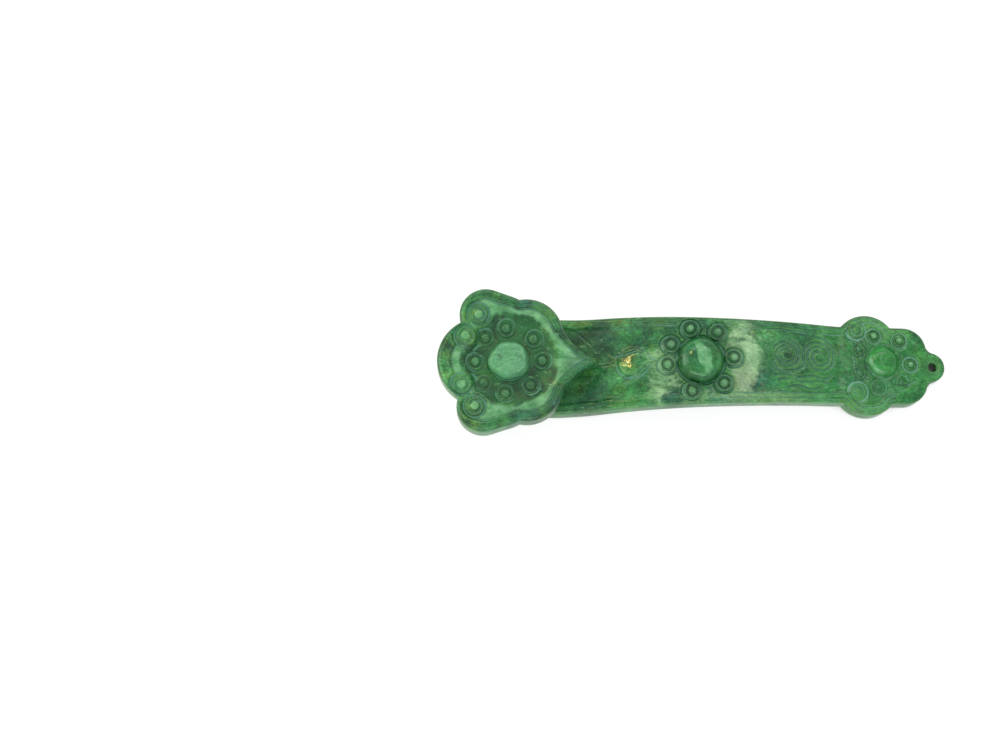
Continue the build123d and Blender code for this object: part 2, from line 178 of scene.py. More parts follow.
def distance_to(x, y, line, reach=None):
    """Distance from points to a line of points, exact along its segments; beyond reach it stays large."""
    line = np.asarray(line, float)
    flat = np.stack([np.ravel(x), np.ravel(y)], 1)
    found = np.full(len(flat), FAR_OFF)
    near = np.ones(len(flat), bool)
    if reach:
        near = ((flat > line.min(0) - reach) & (flat < line.max(0) + reach)).all(1)
    tree = kdtree.KDTree(len(line))
    for i, (px, py) in enumerate(line):
        tree.insert((px, py, 0), i)
    tree.balance()
    close = np.array([tree.find((px, py, 0))[1] for px, py in flat[near]], int)
    best = np.full(len(close), FAR_OFF)
    for step in (-1, 0):
        first = np.clip(close + step, 0, len(line) - 2)
        a, b = line[first], line[first + 1]
        along = ((flat[near] - a) * (b - a)).sum(1) / np.maximum(((b - a) ** 2).sum(1), 1e-12)
        along = np.clip(along, 0, 1)
        best = np.minimum(best, np.linalg.norm(flat[near] - a - along[:, None] * (b - a), axis=1))
    found[near] = best
    return found.reshape(np.shape(x))


def curl(cx, cy, r0, r1, start, turns, count=80):
    """Points of a scroll that winds out from a small radius to a larger one."""
    t = np.linspace(0, 1, count)
    angle = np.radians(start) + turns * 2 * np.pi * t
    radius = r0 + (r1 - r0) * t
    return np.stack([cx + radius * np.cos(angle), cy + radius * np.sin(angle)], 1)


def bow(*points, count=50):
    """Smooth open line through a few points."""
    points = np.asarray(points, float)
    t = np.linspace(0, len(points) - 1, count)
    i = np.clip(t.astype(int), 0, len(points) - 2)
    f = (t - i)[:, None]
    before, after = points[np.maximum(i - 1, 0)], points[np.minimum(i + 2, len(points) - 1)]
    a, b = points[i], points[i + 1]
    bend = 2 * a - 2 * b + (b - before + after - a) / 2
    return a + f * ((b - before) / 2 + f * (3 * (b - a) - (b - before) - (after - a) / 2 + f * bend))


print("a scroll of one turn ends at", curl(0, 0, 1, 2, 0, 1)[-1].round(2))

# %% [markdown]
# ## From rows of points to a closed skin
# The shaft, the head and the bosses can all be laid out as rings of points, one after the other, as a potter
# builds with coils. Joining each ring to the next gives clean four-sided faces that follow the form. The first
# and last ring are closed by one face each. Polish reaches the high places and paste stays in the cuts, so
# each point also keeps how deep it lies: its distance from the same mesh after smoothing.
# The wide measure also steers painted shade in the hollows, and the narrow one painted highlights on ridges.

# %% Skin builder and the measure of hollows
MERGE_DISTANCE = 0.002 * MM
HOLLOWS = (("narrow_cut", 12, 0.10), ("wide_hollow", 70, 0.30))


def store(mesh, name, values):
    """Keep one number from -1 to 1 for each point of a mesh."""
    values = np.clip(np.ravel(values), -1, 1).astype(np.float32)
    mesh.attributes.new(name, "FLOAT", "POINT").data.foreach_set("value", values)


def tidy(mesh):
    """Merge doubles, close open bases, turn the faces outward and shade smooth."""
    work = bmesh.new()
    work.from_mesh(mesh)
    bmesh.ops.remove_doubles(work, verts=work.verts, dist=MERGE_DISTANCE)
    bmesh.ops.holes_fill(work, edges=[edge for edge in work.edges if edge.is_boundary], sides=0)
    bmesh.ops.recalc_face_normals(work, faces=work.faces)
    work.to_mesh(mesh)
    work.free()
    mesh.shade_smooth()
    return mesh


def skin(name, rings, tone):
    """Closed mesh from rings of points in millimetres, shaded smooth, with a painted tone from -1 to 1."""
    count, around, _ = rings.shape
    index = np.arange(count * around).reshape(count, around)
    after = np.roll(index, -1, 1)
    faces = np.stack([index[:-1], index[1:], after[1:], after[:-1]], -1).reshape(-1, 4).tolist()
    faces += [index[0].tolist(), index[-1][::-1].tolist()]
    mesh = bpy.data.meshes.new(name)
    mesh.from_pydata((rings.reshape(-1, 3) * MM).tolist(), [], faces)
    store(mesh, "tone", tone)
    return tidy(mesh)


def mark_hollows(mesh):
    """Store how far each point lies in a narrow cut and in a wide hollow, for the stone's colour and polish."""
    n = len(mesh.vertices)
    co, normal, edges = np.zeros(n * 3), np.zeros(n * 3), np.zeros(len(mesh.edges) * 2, int)
    mesh.vertices.foreach_get("co", co)
    mesh.vertex_normals.foreach_get("vector", normal)
    mesh.edges.foreach_get("vertices", edges)
    co, normal, edges = co.reshape(-1, 3) / MM, normal.reshape(-1, 3), edges.reshape(-1, 2)
    here, there = np.concatenate([edges, edges[:, ::-1]]).T
    degree = np.bincount(here, minlength=n)
    smooth = co.copy()
    for name, passes, scale in HOLLOWS:
        for _ in range(passes):
            total = np.stack([np.bincount(here, smooth[there, k], n) for k in range(3)], 1)
            smooth = 0.4 * smooth + 0.6 * total / degree[:, None]
        store(mesh, name, ((smooth - co) * normal).sum(1) / scale)


def piece(name, mesh, stone, slot, *nodes):
    """Object for a finished mesh, riding on the part and standing for its solids."""
    mark_hollows(mesh)
    made = bpy.data.objects.new(name, mesh)
    bpy.context.scene.collection.objects.link(made)
    made.data.materials.clear()
    made.data.materials.append(stone)
    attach(made, "root")
    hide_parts(*nodes)
    print(name, "triangles:", sum(len(p.vertices) - 2 for p in mesh.polygons))


print("measures kept at each point:", [name for name, _, _ in HOLLOWS])

# %% [markdown]
# ## Node helper
# The stone, the beads and the floor are all made by trees of nodes. A node is a small tool with sockets, and
# the same few lines add one and link it every time, so they are written once here.


# %% Helper for node trees
class Nodes:
    """Adds nodes to one tree; a socket takes either a value or the output of another node."""

    def __init__(self, tree):
        self.tree = tree

    def give(self, socket, value):
        if isinstance(value, bpy.types.NodeSocket):
            self.tree.links.new(value, socket)
        else:
            socket.default_value = value

    def node(self, kind, inputs=(), **settings):
        made = self.tree.nodes.new(kind)
        for key, value in settings.items():
            setattr(made, key, value)
        for key, value in dict(inputs).items():
            self.give(made.inputs[key], value)
        return made

    def math(self, kind, a, b=0.0):
        return self.node("ShaderNodeMath", {0: a, 1: b}, operation=kind).outputs[0]

    def vector(self, kind, a, b):
        return self.node("ShaderNodeVectorMath", {0: a, 1: b}, operation=kind).outputs[0]

    def span(self, value, low, high, to_low=0.0, to_high=1.0, kind="SMOOTHSTEP"):
        made = self.node("ShaderNodeMapRange", {
            "Value": value, "From Min": low, "From Max": high, "To Min": to_low, "To Max": to_high},
            interpolation_type=kind)
        return made.outputs["Result"]

    def mix(self, share, a, b, kind="MIX"):
        return self.node("ShaderNodeMix", {0: share, 6: a, 7: b}, data_type="RGBA", blend_type=kind).outputs[2]


print("node helper:", [name for name in vars(Nodes) if not name.startswith("_")])

# %% [markdown]
# ## The stone
# Jade of this kind is cloudy: dark bottle green with lighter green and pale mint clouds, streaks along the
# bar, brown stains and pale flecks. One material on object coordinates runs through all the pieces, so a cloud
# goes on from the head to the shaft as it does in one stone. An image could hold the clouds too, but it would
# show only one side, while a pattern in space goes through the stone. Pale polishing paste stays in the cuts
# and the high places are polished brightest, so the stored hollows steer colour and roughness. The head and the
# borders near it are duller. A little light goes under the surface.
# Some clouds also stand partly for light: the pale ones by the middle rosette carry a painted reflection, and the
# dark one by the head a painted shadow of it.

# %% Greens, paints and clouds
GREENS = (
    (0.36, (0.007, 0.058, 0.022, 1)), (0.46, (0.018, 0.135, 0.037, 1)),
    (0.55, (0.034, 0.208, 0.054, 1)), (0.66, (0.068, 0.300, 0.085, 1)),
)
PAINTS = {
    "yellowish": (0.085, 0.245, 0.030, 1), "bluish": (0.016, 0.130, 0.078, 1),
    "pale": (0.285, 0.525, 0.255, 1), "dark": (0.008, 0.050, 0.026, 1), "bright": (0.022, 0.225, 0.040, 1),
    "leaf": (0.085, 0.330, 0.075, 1), "tan": (0.190, 0.235, 0.120, 1),
    "milk shade": (0.085, 0.335, 0.120, 1), "milk": (0.230, 0.540, 0.265, 1),
    "deep shade": (0.004, 0.044, 0.012, 1), "deep": (0.008, 0.125, 0.024, 1), "hollow": (0.008, 0.052, 0.024, 1),
    "paste": (0.110, 0.340, 0.220, 1), "tail paste": (0.190, 0.460, 0.320, 1), "ridge": (0.150, 0.400, 0.120, 1),
    "stain": (0.050, 0.050, 0.014, 1), "speck": (0.006, 0.030, 0.012, 1), "fleck": (0.170, 0.440, 0.190, 1),
}
# place and half size in millimetres, paint and greatest share of each cloud
CLOUDS = [
    # the two pale clouds by the middle rosette are partly paler stone and partly a painted reflection
    ((11.3, 0.3, 11.0), (4.5, 8.4, 6.0), "pale", 0.95),
    ((-7.2, -3.0, 10.5), (4.3, 6.4, 6.0), "pale", 0.95),
    ((-5.0, 8.6, 11.0), (12.0, 2.4, 5.0), "dark", 0.6),
    ((12.0, -8.0, 10.5), (17.0, 2.2, 5.0), "pale", 0.35),
    # partly dark stone and partly a painted shadow of the head
    ((-25.5, 0.0, 8.0), (8.0, 14.0, 6.0), "dark", 0.48),
    ((-16.0, -8.0, 9.0), (8.0, 3.0, 5.0), "bright", 0.4),
    ((-20.0, 4.0, 9.0), (7.0, 6.0, 6.0), "dark", 0.35),
    ((33.0, 0.0, 6.0), (6.0, 10.0, 6.0), "bright", 0.5),
    ((32.0, 2.0, 6.5), (4.5, 7.0, 6.0), "dark", 0.35),
    ((46.0, 1.0, 5.0), (16.0, 15.0, 8.0), "bright", 0.75),
    ((24.0, -4.0, 9.0), (9.0, 5.0, 6.0), "bright", 0.35),
    ((22.5, 1.5, 9.5), (7.5, 5.0, 5.0), "dark", 0.3),
    ((46.0, 9.5, 5.0), (11.0, 4.0, 6.0), "leaf", 0.7),
    ((-57.0, 0.0, 11.0), (4.0, 9.0, 6.0), "leaf", 0.2),
    ((55.0, 0.0, 4.0), (6.0, 5.0, 5.0), "leaf", 0.3),
    ((39.0, -9.0, 5.0), (8.0, 3.0, 6.0), "leaf", 0.15),
    ((11.0, -4.6, 11.0), (3.4, 2.6, 5.0), "tan", 0.45),
]
print("clouds:", len(CLOUDS), "paints:", len(PAINTS))


# %% Colour of the stone
class Stone(Nodes):
    """One jade material, with the patterns that its colour and its polish share."""

    def __init__(self, name):
        self.material = bpy.data.materials.new(name)
        self.material.use_nodes = True
        super().__init__(self.material.node_tree)
        self.place = self.node("ShaderNodeTexCoord").outputs["Object"]
        self.streaks = self.node("ShaderNodeMapping", {"Vector": self.place, "Scale": (0.6, 1.0, 1.0)}).outputs[0]
        self.along = self.node("ShaderNodeSeparateXYZ", {0: self.place}).outputs
        self.grain = self.noise(self.streaks, 430, 7, 0.66, 0.5)
        self.wander = self.noise(self.place, 230, 5, 0.62, 0.8)
        self.tone, self.narrow, self.wide = (
            self.node("ShaderNodeAttribute", attribute_name=kept).outputs["Fac"]
            for kept in ("tone", "narrow_cut", "wide_hollow"))

    def noise(self, place, scale, detail, rough, twist=0.0):
        made = self.node("ShaderNodeTexNoise", {
            "Vector": place, "Scale": scale, "Detail": detail, "Roughness": rough, "Distortion": twist})
        return made.outputs["Fac"]


def clouded(stone, colour):
    """Lay the clouds on a colour, with ragged edges; also gives the share of pale cloud."""
    ragged = stone.span(stone.wander, 0.3, 0.7, -0.5, 0.5, "LINEAR")
    broken = stone.span(stone.grain, 0.36, 0.54, 0.78, 1.05)
    pale = 0.0
    for centre, size, paint, share in CLOUDS:
        moved = stone.vector("SUBTRACT", stone.place, [v * MM for v in centre])
        scaled = stone.vector("MULTIPLY", moved, [1 / (v * MM) for v in size])
        far = stone.node("ShaderNodeVectorMath", {0: scaled}, operation="LENGTH").outputs["Value"]
        cover = stone.span(stone.math("ADD", far, ragged), 0.35, 1.15, share, 0.0)
        if paint == "pale":
            cover = stone.math("MULTIPLY", cover, broken)
            pale = stone.math("MAXIMUM", pale, cover)
        colour = stone.mix(cover, colour, PAINTS[paint])
    return colour, pale


def raw_colour(stone, tint, tint_share, mottle):
    """Colour of the uncut stone: greens that lean to yellow or blue, with clouds, a tint and grain."""
    greens = stone.node("ShaderNodeValToRGB", {"Fac": stone.noise(stone.place, 110, 6, 0.62, 0.7)})
    stops = greens.color_ramp.elements
    for stop, (position, green) in zip(stops, (GREENS[0], GREENS[-1])):
        stop.position, stop.color = position, green
    for position, green in GREENS[1:-1]:
        stops.new(position).color = green
    elsewhere = stone.node("ShaderNodeMapping", {"Vector": stone.place, "Location": (0.3, 0.1, 0.2)}).outputs[0]
    hue = stone.noise(elsewhere, 170, 5, 0.6)
    colour = stone.mix(stone.span(hue, 0.50, 0.66, 0.0, 0.6), greens.outputs["Color"], PAINTS["yellowish"])
    colour = stone.mix(stone.span(hue, 0.48, 0.33, 0.0, 0.6), colour, PAINTS["bluish"])
    colour, pale = clouded(stone, colour)
    colour = stone.mix(tint_share, colour, tint)
    mottled = stone.span(pale, 0.0, 1.0, mottle, 0.5 * mottle)
    grain = [stone.span(stone.grain, 0.25, 0.75, *to) for to in ((0.45, 1.75), (0.58, 1.48), (0.5, 1.65))]
    dust = stone.span(stone.noise(stone.streaks, 2600, 4, 0.6), 0.32, 0.68, 0.62, 1.42)
    for shares in (grain, [dust] * 3):
        speckle = stone.node("ShaderNodeCombineColor", dict(zip(("Red", "Green", "Blue"), shares)))
        colour = stone.mix(mottled, colour, speckle.outputs["Color"], "MULTIPLY")
    return colour


def carved_colour(stone, colour, paste):
    """Colour after carving, layer by layer: painted light and shade from the tone, painted shade in hollows,
    paste in cuts, painted highlights on ridges, stains and flecks.
    """
    uneven = stone.span(stone.wander, 0.3, 0.7, 0.75, 1.15, "LINEAR")
    pale_stone_and_highlight = stone.mix(stone.span(stone.grain, 0.36, 0.64), PAINTS["milk shade"], PAINTS["milk"])
    deep = stone.mix(stone.span(stone.wander, 0.36, 0.62), PAINTS["deep shade"], PAINTS["deep"])
    pasted = stone.mix(stone.span(stone.along["X"], 25 * MM, 38 * MM), PAINTS["paste"], PAINTS["tail paste"])
    layers = [
        # positive tone: paler stone on the head's ledge and eyes, and painted highlights on the ledge, dome, tail
        # boss and bead cores
        (stone.math("MULTIPLY", stone.span(stone.tone, 0.0, 1.0, 0.0, 0.85), uneven), pale_stone_and_highlight),
        # negative tone is painted shade: beds round the rosettes, the head's dish, far edges, bead grooves and the
        # dome's rim
        (stone.span(stone.tone, 0.0, -1.0, 0.0, 0.85), deep),
        # painted shade in the wide hollows
        (stone.span(stone.wide, 0.1, 1.0, 0.0, 0.55), PAINTS["hollow"]),
        (stone.span(stone.narrow, 0.22, 0.9, 0.0, paste), pasted),
        # painted highlight on narrow ridges and edges
        (stone.span(stone.narrow, -0.22, -0.8, 0.0, 0.3), PAINTS["ridge"]),
        (stone.span(stone.noise(stone.place, 520, 4, 0.6), 0.63, 0.76, 0.0, 0.65), PAINTS["stain"]),
        (stone.span(stone.noise(stone.place, 1250, 3, 0.5), 0.62, 0.72, 0.0, 0.45), PAINTS["speck"]),
        (stone.span(stone.noise(stone.streaks, 980, 4, 0.6, 0.6), 0.60, 0.74, 0.0, 0.7), PAINTS["fleck"]),
    ]
    for share, paint in layers:
        colour = stone.mix(share, colour, paint)
    return colour


# %% Polish and the four stones
DULLER = 0.14


def polish(stone, gloss):
    """Roughness: bright on high places, duller in hollows, on the head and on the borders near it."""
    border = stone.span(stone.math("ABSOLUTE", stone.along["Y"]), 5.5 * MM, 8.5 * MM, 0.0, DULLER)
    head = stone.span(stone.along["X"], -24 * MM, -28 * MM, 0.0, DULLER)
    near_head = stone.span(stone.along["X"], 5 * MM, -5 * MM)
    rough = stone.span(stone.wide, 0.0, 0.8, gloss, gloss + 0.25)
    for more in (
        stone.span(stone.wide, 0.0, -0.6, 0.0, -0.08),
        stone.math("MULTIPLY", stone.math("MAXIMUM", border, head), near_head),
        stone.span(stone.tone, -0.3, -0.9, 0.0, 0.08),
        stone.span(stone.grain, 0.3, 0.7, -0.05, 0.1),
    ):
        rough = stone.math("ADD", rough, more)
    return rough


def jade(name, tint, tint_share, gloss, mottle, paste):
    """Polished jade: the tint leans its colour, gloss is the roughness of high places, mottle is the share of
    grain and paste the share of pale polishing paste in the cuts."""
    stone = Stone(name)
    fine = stone.math("MULTIPLY", stone.noise(stone.place, 1700, 4, 0.6), 0.6)
    bump = stone.node("ShaderNodeBump", {
        "Strength": 0.15, "Distance": 0.14 * MM, "Height": stone.math("ADD", fine, stone.grain)})
    surface = {
        "Base Color": carved_colour(stone, raw_colour(stone, tint, tint_share, mottle), paste),
        "Roughness": polish(stone, gloss), "Normal": bump.outputs["Normal"], "IOR": 1.55,
        "Specular IOR Level": 0.4, "Subsurface Weight": 0.12, "Subsurface Radius": (0.35, 1.0, 0.45),
        "Subsurface Scale": 1.2 * MM,
    }
    shader = stone.tree.nodes["Principled BSDF"]
    for socket, value in surface.items():
        stone.give(shader.inputs[socket], value)
    return stone.material


BODY_JADE = jade("mottled_jade_body", (0.06, 0.22, 0.08, 1), 0.0, 0.17, 0.9, 0.75)
# the head boss's pale mint is partly its stone and partly a painted reflection of the light above
BOSS_JADE = jade("pale_jade_boss", (0.150, 0.44, 0.22, 1), 0.65, 0.2, 0.5, 0.4)
DOME_JADE = jade("clear_green_dome", (0.040, 0.280, 0.055, 1), 0.25, 0.2, 0.75, 0.5)
BEAD_JADE = jade("dark_jade_beads", (0.012, 0.080, 0.034, 1), 0.6, 0.13, 0.7, 0.45)
print("stones:", [stone.name for stone in (BODY_JADE, BOSS_JADE, DOME_JADE, BEAD_JADE)])

# %% [markdown]
# ## Shaft and tail
# On the real scepter the shaft runs into the tail without a seam, so both are one skin here. In plan the edges
# taper gently, swell into two leaves, step in to a blunt end lobe and finish in a small lug. Each ring of the
# skin is a cross-section: the top with all its carving, the two sides and a plain underside.

# %% Plan of the shaft, tail and lug
NECK_HALF_WIDTH, JOINT_HALF_WIDTH, END_HALF_WIDTH = 11.1, 8.9, 8.9
SEAT_REACH, SEAT_CORNER = 6.0, 6.0
LEAF_RADIUS, LEAF_AHEAD = 7.2, 5.65
LUG_FLARE, FLARE_RUN = 1.4, 1.5
HOLE_AHEAD, HOLE_RADIUS = 21.1, 1.1
SEAT_START = NECK_S - HEAD_SETBACK - SEAT_REACH
LEAF_Y = JOINT_HALF_WIDTH - math.sqrt(LEAF_RADIUS**2 - LEAF_AHEAD**2)
END_Y = END_HALF_WIDTH - END_RADIUS
END_S, TIP_S, LUG_S = JOINT_S + END_AHEAD, JOINT_S + TAIL_END, JOINT_S + LUG_AHEAD


def thick_half_width(s):
    """Half the width of the full-thickness stone at lengths along it."""
    x = middle_line(s)[0] - ARCH_X
    taper = np.clip((x - NECK_X) / (JOINT_X - NECK_X), 0, 1)
    bar = NECK_HALF_WIDTH + (JOINT_HALF_WIDTH - NECK_HALF_WIDTH) * taper
    corner = np.clip(SEAT_CORNER - (s - SEAT_START), 0, SEAT_CORNER)
    bar = bar - SEAT_CORNER + root(SEAT_CORNER**2 - corner**2)
    u = s - JOINT_S
    leaf = np.where(u > 0, LEAF_Y + root(LEAF_RADIUS**2 - (u - LEAF_AHEAD) ** 2), 0)
    end = END_Y + root(END_RADIUS**2 - np.clip(u - END_AHEAD, 0, END_RADIUS) ** 2)
    return np.maximum(np.where(u > END_AHEAD, end, bar), np.where(u < END_AHEAD, leaf, 0))


def lug_half_width(s):
    """Half the width of the thin lug, which flares where it leaves the end lobe."""
    flare = LUG_FLARE * np.clip((TIP_S + FLARE_RUN - s) / FLARE_RUN, 0, 1) ** 2
    return root(LUG_RADIUS**2 - np.clip(s - LUG_S, 0, LUG_RADIUS) ** 2) + flare


def quarter(count, share=1.0):
    """Steps over a quarter turn, close together at its end, without its start."""
    return np.sin(np.linspace(0, np.pi / 2 * share, count))[1:]


def outline(s, y):
    """Both edges of a plan as one line of points."""
    return np.concatenate([np.stack([s, y], 1), np.stack([s[::-1], -y[::-1]], 1)])


def row_lengths():
    """Lengths of the rings: close where there is carving, wide where the head hides the shaft."""
    front = SEAT_START + SEAT_CORNER * (1 - np.cos(np.linspace(0.02, 1, 9) * np.pi / 2))
    seat = np.linspace(front[-1], NECK_S - 3, 10)[1:]
    bar = np.linspace(NECK_S - 3, JOINT_S - 1, 330)[1:]
    tail = np.linspace(JOINT_S - 1, END_S, 78)[1:]
    end = END_S + END_RADIUS * quarter(36)
    neck = np.linspace(TIP_S, LUG_S, 7)[1:]
    lug = LUG_S + LUG_RADIUS * quarter(24, 0.985)
    return np.concatenate([front, seat, bar, tail, end, neck, lug])


rows = row_lengths()
past_end = rows > TIP_S + 1e-6
thick = np.maximum(thick_half_width(rows), np.where(rows > END_S, LUG_RADIUS, 0))
half_widths = np.where(past_end, lug_half_width(rows), thick)
edge_s = np.concatenate([np.linspace(SEAT_START, END_S, 2600), END_S + END_RADIUS * quarter(200)])
thick_outline = outline(edge_s, thick_half_width(edge_s))
lug_s = np.concatenate([np.linspace(END_S, LUG_S, 90), LUG_S + LUG_RADIUS * quarter(90)])
lug_outline = outline(lug_s, lug_half_width(np.maximum(lug_s, TIP_S)))
print("rings:", len(rows), "widest half:", half_widths.max().round(2))

# %% [markdown]
# ### Rosettes and scroll eyes
# A rosette is a boss with a ring of beads round it, at uneven angles and worn to uneven heights. A tube drill
# left a ground ring round each of them. A scroll eye is a low button with a shallow moat and a spiral line.
# Both occur on the head and on the shaft, so they are functions of the place seen from their own middle.

# %% Places of the rosettes and their beds
MIDDLE_OFFSET, PEACH_OFFSET, TAIL_BOSS_AHEAD, TAIL_BOSS_Y = 0.7, 15.9, 9.4, 0.9
HEAD_BOSS_RADIUS, MIDDLE_BOSS_RADIUS, TAIL_BOSS_RADIUS = 4.3, 5.2, 3.6
HEAD_BEAD_RADIUS, MIDDLE_BEAD_RADIUS, TAIL_BEAD_RADIUS = 2.0, 1.95, 1.62
MIDDLE_S = float(length_at(ARCH_X - MIDDLE_OFFSET))
PEACH_S = float(length_at(ARCH_X - PEACH_OFFSET))


def ring_spots(turns, radius):
    """Places round a ring at uneven angles, measured from the tail's direction."""
    angle = np.radians(turns)
    return np.stack([radius * np.cos(angle), radius * np.sin(angle)], 1)


HEAD_SPOTS = ring_spots((0, 42, 94, 135, 181, 222, 264, 311), 7.5)
MIDDLE_SPOTS = ring_spots((4, 58, 107, 151, 188, 254, 313), 7.4)
TAIL_SPOTS = ring_spots((-6, 52, 110, 154, 206, 257, 309), 6.2)
HEAD_STANDS = (0.8, 0.75, 0.7, 0.75, 0.75, 0.5, 0.65, 0.75)
MIDDLE_STANDS = (0.85, 0.75, 0.9, 0.8, 0.8, 0.7, 0.9)
TAIL_STANDS = (0.95, 0.85, 0.9, 0.35, 0.3, 0.35, 0.4)


def rosette_bed(x, y, boss_radius, spots, bead_radius, deep, stands):
    """Ground rings round a boss and its beads, shallower where a bead is worn lower."""
    bed = cut(np.hypot(x, y) - boss_radius - 0.2, 0.4, deep * min(stands) / 0.7)
    for (px, py), stand in zip(spots, stands):
        bed = np.minimum(bed, cut(np.hypot(x - px, y - py) - bead_radius - 0.15, 0.32, deep * stand))
    return bed


def scroll_eye(x, y, radius, turn, side):
    """Low scroll eye: a shallow moat, an open spiral line and a domed core."""
    far = np.hypot(x, y)
    body = 0.36 * (1 - ramp(radius - 0.4, radius + 0.3, far)) + cut(far - radius - 0.3, 0.35, 0.24)
    core = 0.28 * root(1 - (far / (0.42 * radius)) ** 2)
    line = curl(0, 0, 0.48 * radius, 1.0 * radius, turn, side * 1.55)
    return body + core + cut(distance_to(x, y, line, 1.2), 0.2, 0.34)


print("beads in the rings:", len(HEAD_SPOTS), len(MIDDLE_SPOTS), len(TAIL_SPOTS))

# %% [markdown]
# ### Peach, cloud scroll and strokes
# A low peach lies between the neck and the middle rosette. Its face is one flat facet that leans to one side,
# which is why it throws back a single glint. Beyond the rosette a cloud scroll fills the place of a carved sign
# on the real piece with a common ornament. Small strokes of a wheel lie round both.

# %% Peach, cloud scroll and strokes
PEACH_RADIUS, PEACH_POINT, PEACH_HEIGHT, PEACH_LEAN = 3.7, 5.1, 0.72, (0.061, -0.152)
# line, width and depth of the cuts round the peach
PEACH_CUTS = [
    (bow((-1.9, -3.7), (0.5, -2.95), (2.1, -1.9), (3.5, -0.5)), 0.26, 0.42),
    (bow((-1.2, -4.1), (1.2, -3.3), (2.8, -2.1), (3.9, -0.9)), 0.2, 0.22),
    (bow((0.2, 2.5), (2.4, 1.6), (4.9, 0.2)), 0.2, 0.12),
    (bow((-3.9, 1.5), (-2.6, 1.62), (-1.0, 1.95), (0.8, 2.5)), 0.24, 0.34),
]
CLOUD_LINES = [
    curl(-3.7, 1.9, 0.7, 2.7, 30, 1.35), curl(-3.7, 1.9, 1.5, 3.2, 60, 1.05),
    curl(3.3, 1.7, 0.8, 3.6, 60, 1.45), curl(3.3, 1.7, 1.9, 4.1, 80, 1.1),
    bow((-6.4, 0.4), (-5.9, -1.2), (-3.9, -1.7), (-1.4, -1.3), (0.2, -0.2)),
    bow((-6.3, -2.6), (-3.8, -2.3), (-1.0, -2.9), (1.8, -2.5), (4.6, -3.0), (6.0, -2.1)),
    bow((-5.4, -3.6), (-2.8, -3.3), (0.2, -3.9), (3.0, -3.5), (5.0, -3.9)),
    bow((-3.7, -5.1), (-1.2, -4.7), (1.4, -5.3), (3.6, -4.9)),
]
NECK_STROKES = [
    bow((-12.6, 7.2), (-11.3, 6.0), (-9.9, 4.9)), bow((-9.0, 0.5), (-6.8, 0.3), (-4.4, 0.6)),
    bow((-8.8, -0.3), (-6.6, -0.5), (-4.6, -0.2)), bow((-10.8, -4.2), (-9.2, -3.1), (-8.2, -1.4)),
]
TAIL_STROKES = [
    bow((1.6, 5.6), (2.9, 4.3), (3.4, 2.9), (4.3, 1.6)), bow((3.0, 4.6), (4.3, 3.7), (4.9, 2.5)),
    bow((3.3, -0.6), (3.5, -1.9), (4.4, -3.0), (5.9, -3.7)), bow((4.2, -1.2), (4.7, -2.2), (5.8, -2.9)),
    bow((2.3, 2.0), (2.7, 0.6), (2.4, -0.9)), bow((12.6, -4.6), (14.6, -4.5), (16.8, -3.6)),
]


def peach(x, y):
    """Low peach: a flat facet that leans to one side, a slit above it and a sharp double crease under it."""
    far, narrow = np.hypot(x, y), PEACH_RADIUS / PEACH_POINT
    beside_point = (PEACH_POINT - x) * narrow - np.abs(y) * math.sqrt(1 - narrow**2)
    inside = np.where(x > far * narrow, beside_point, PEACH_RADIUS - far)
    facet = PEACH_HEIGHT + PEACH_LEAN[0] * x + PEACH_LEAN[1] * y - 0.034 * np.clip(x + 0.3, 0, 9) ** 2
    facet = facet + np.clip(x + 2.1, -3, 1.8) ** 2 / 240
    facet = facet - 0.045 * np.clip(-0.9 - y, 0, 9) ** 2 + 0.006 * hand(x, y, 1.5, 61)
    total = facet * ramp(-0.1, 0.9, inside)
    for line, width, depth in PEACH_CUTS:
        total = total + cut(distance_to(x, y, line, 2), width, depth)
    return total


def cloud_scroll(x, y):
    """Drifting cloud in thin double lines: two curls that wind the same way, with ripples trailing under them."""
    deep = 0 * x
    for line in CLOUD_LINES:
        deep = np.minimum(deep, cut(distance_to(x, y, line, 1.6), 0.2, 0.46))
    return deep


print("cut lines:", len(PEACH_CUTS) + len(CLOUD_LINES) + len(NECK_STROKES) + len(TAIL_STROKES))

# %% [markdown]
# ### All the carving of the shaft
# The carving is laid out flat, with the length along the shaft and the place across it. A sunk field lies between
# two borders that carry ground lines, and the ornaments are added to that. A painted tone adds painted shade in
# the beds round the rosettes, before the tail's rosette and along the far edge.

# %% Carving and tone of the shaft and the tail
BORDER_WIDTH, FIELD_DEPTH = 2.3, 0.42
SCROLL_S, SCROLL_Y, SCROLL_SCALE = 22.6, -0.2, 1.1
TAIL_EYE_AHEAD, TAIL_EYE_OUT, TAIL_EYE_RADIUS = 3.2, 7.1, 2.0


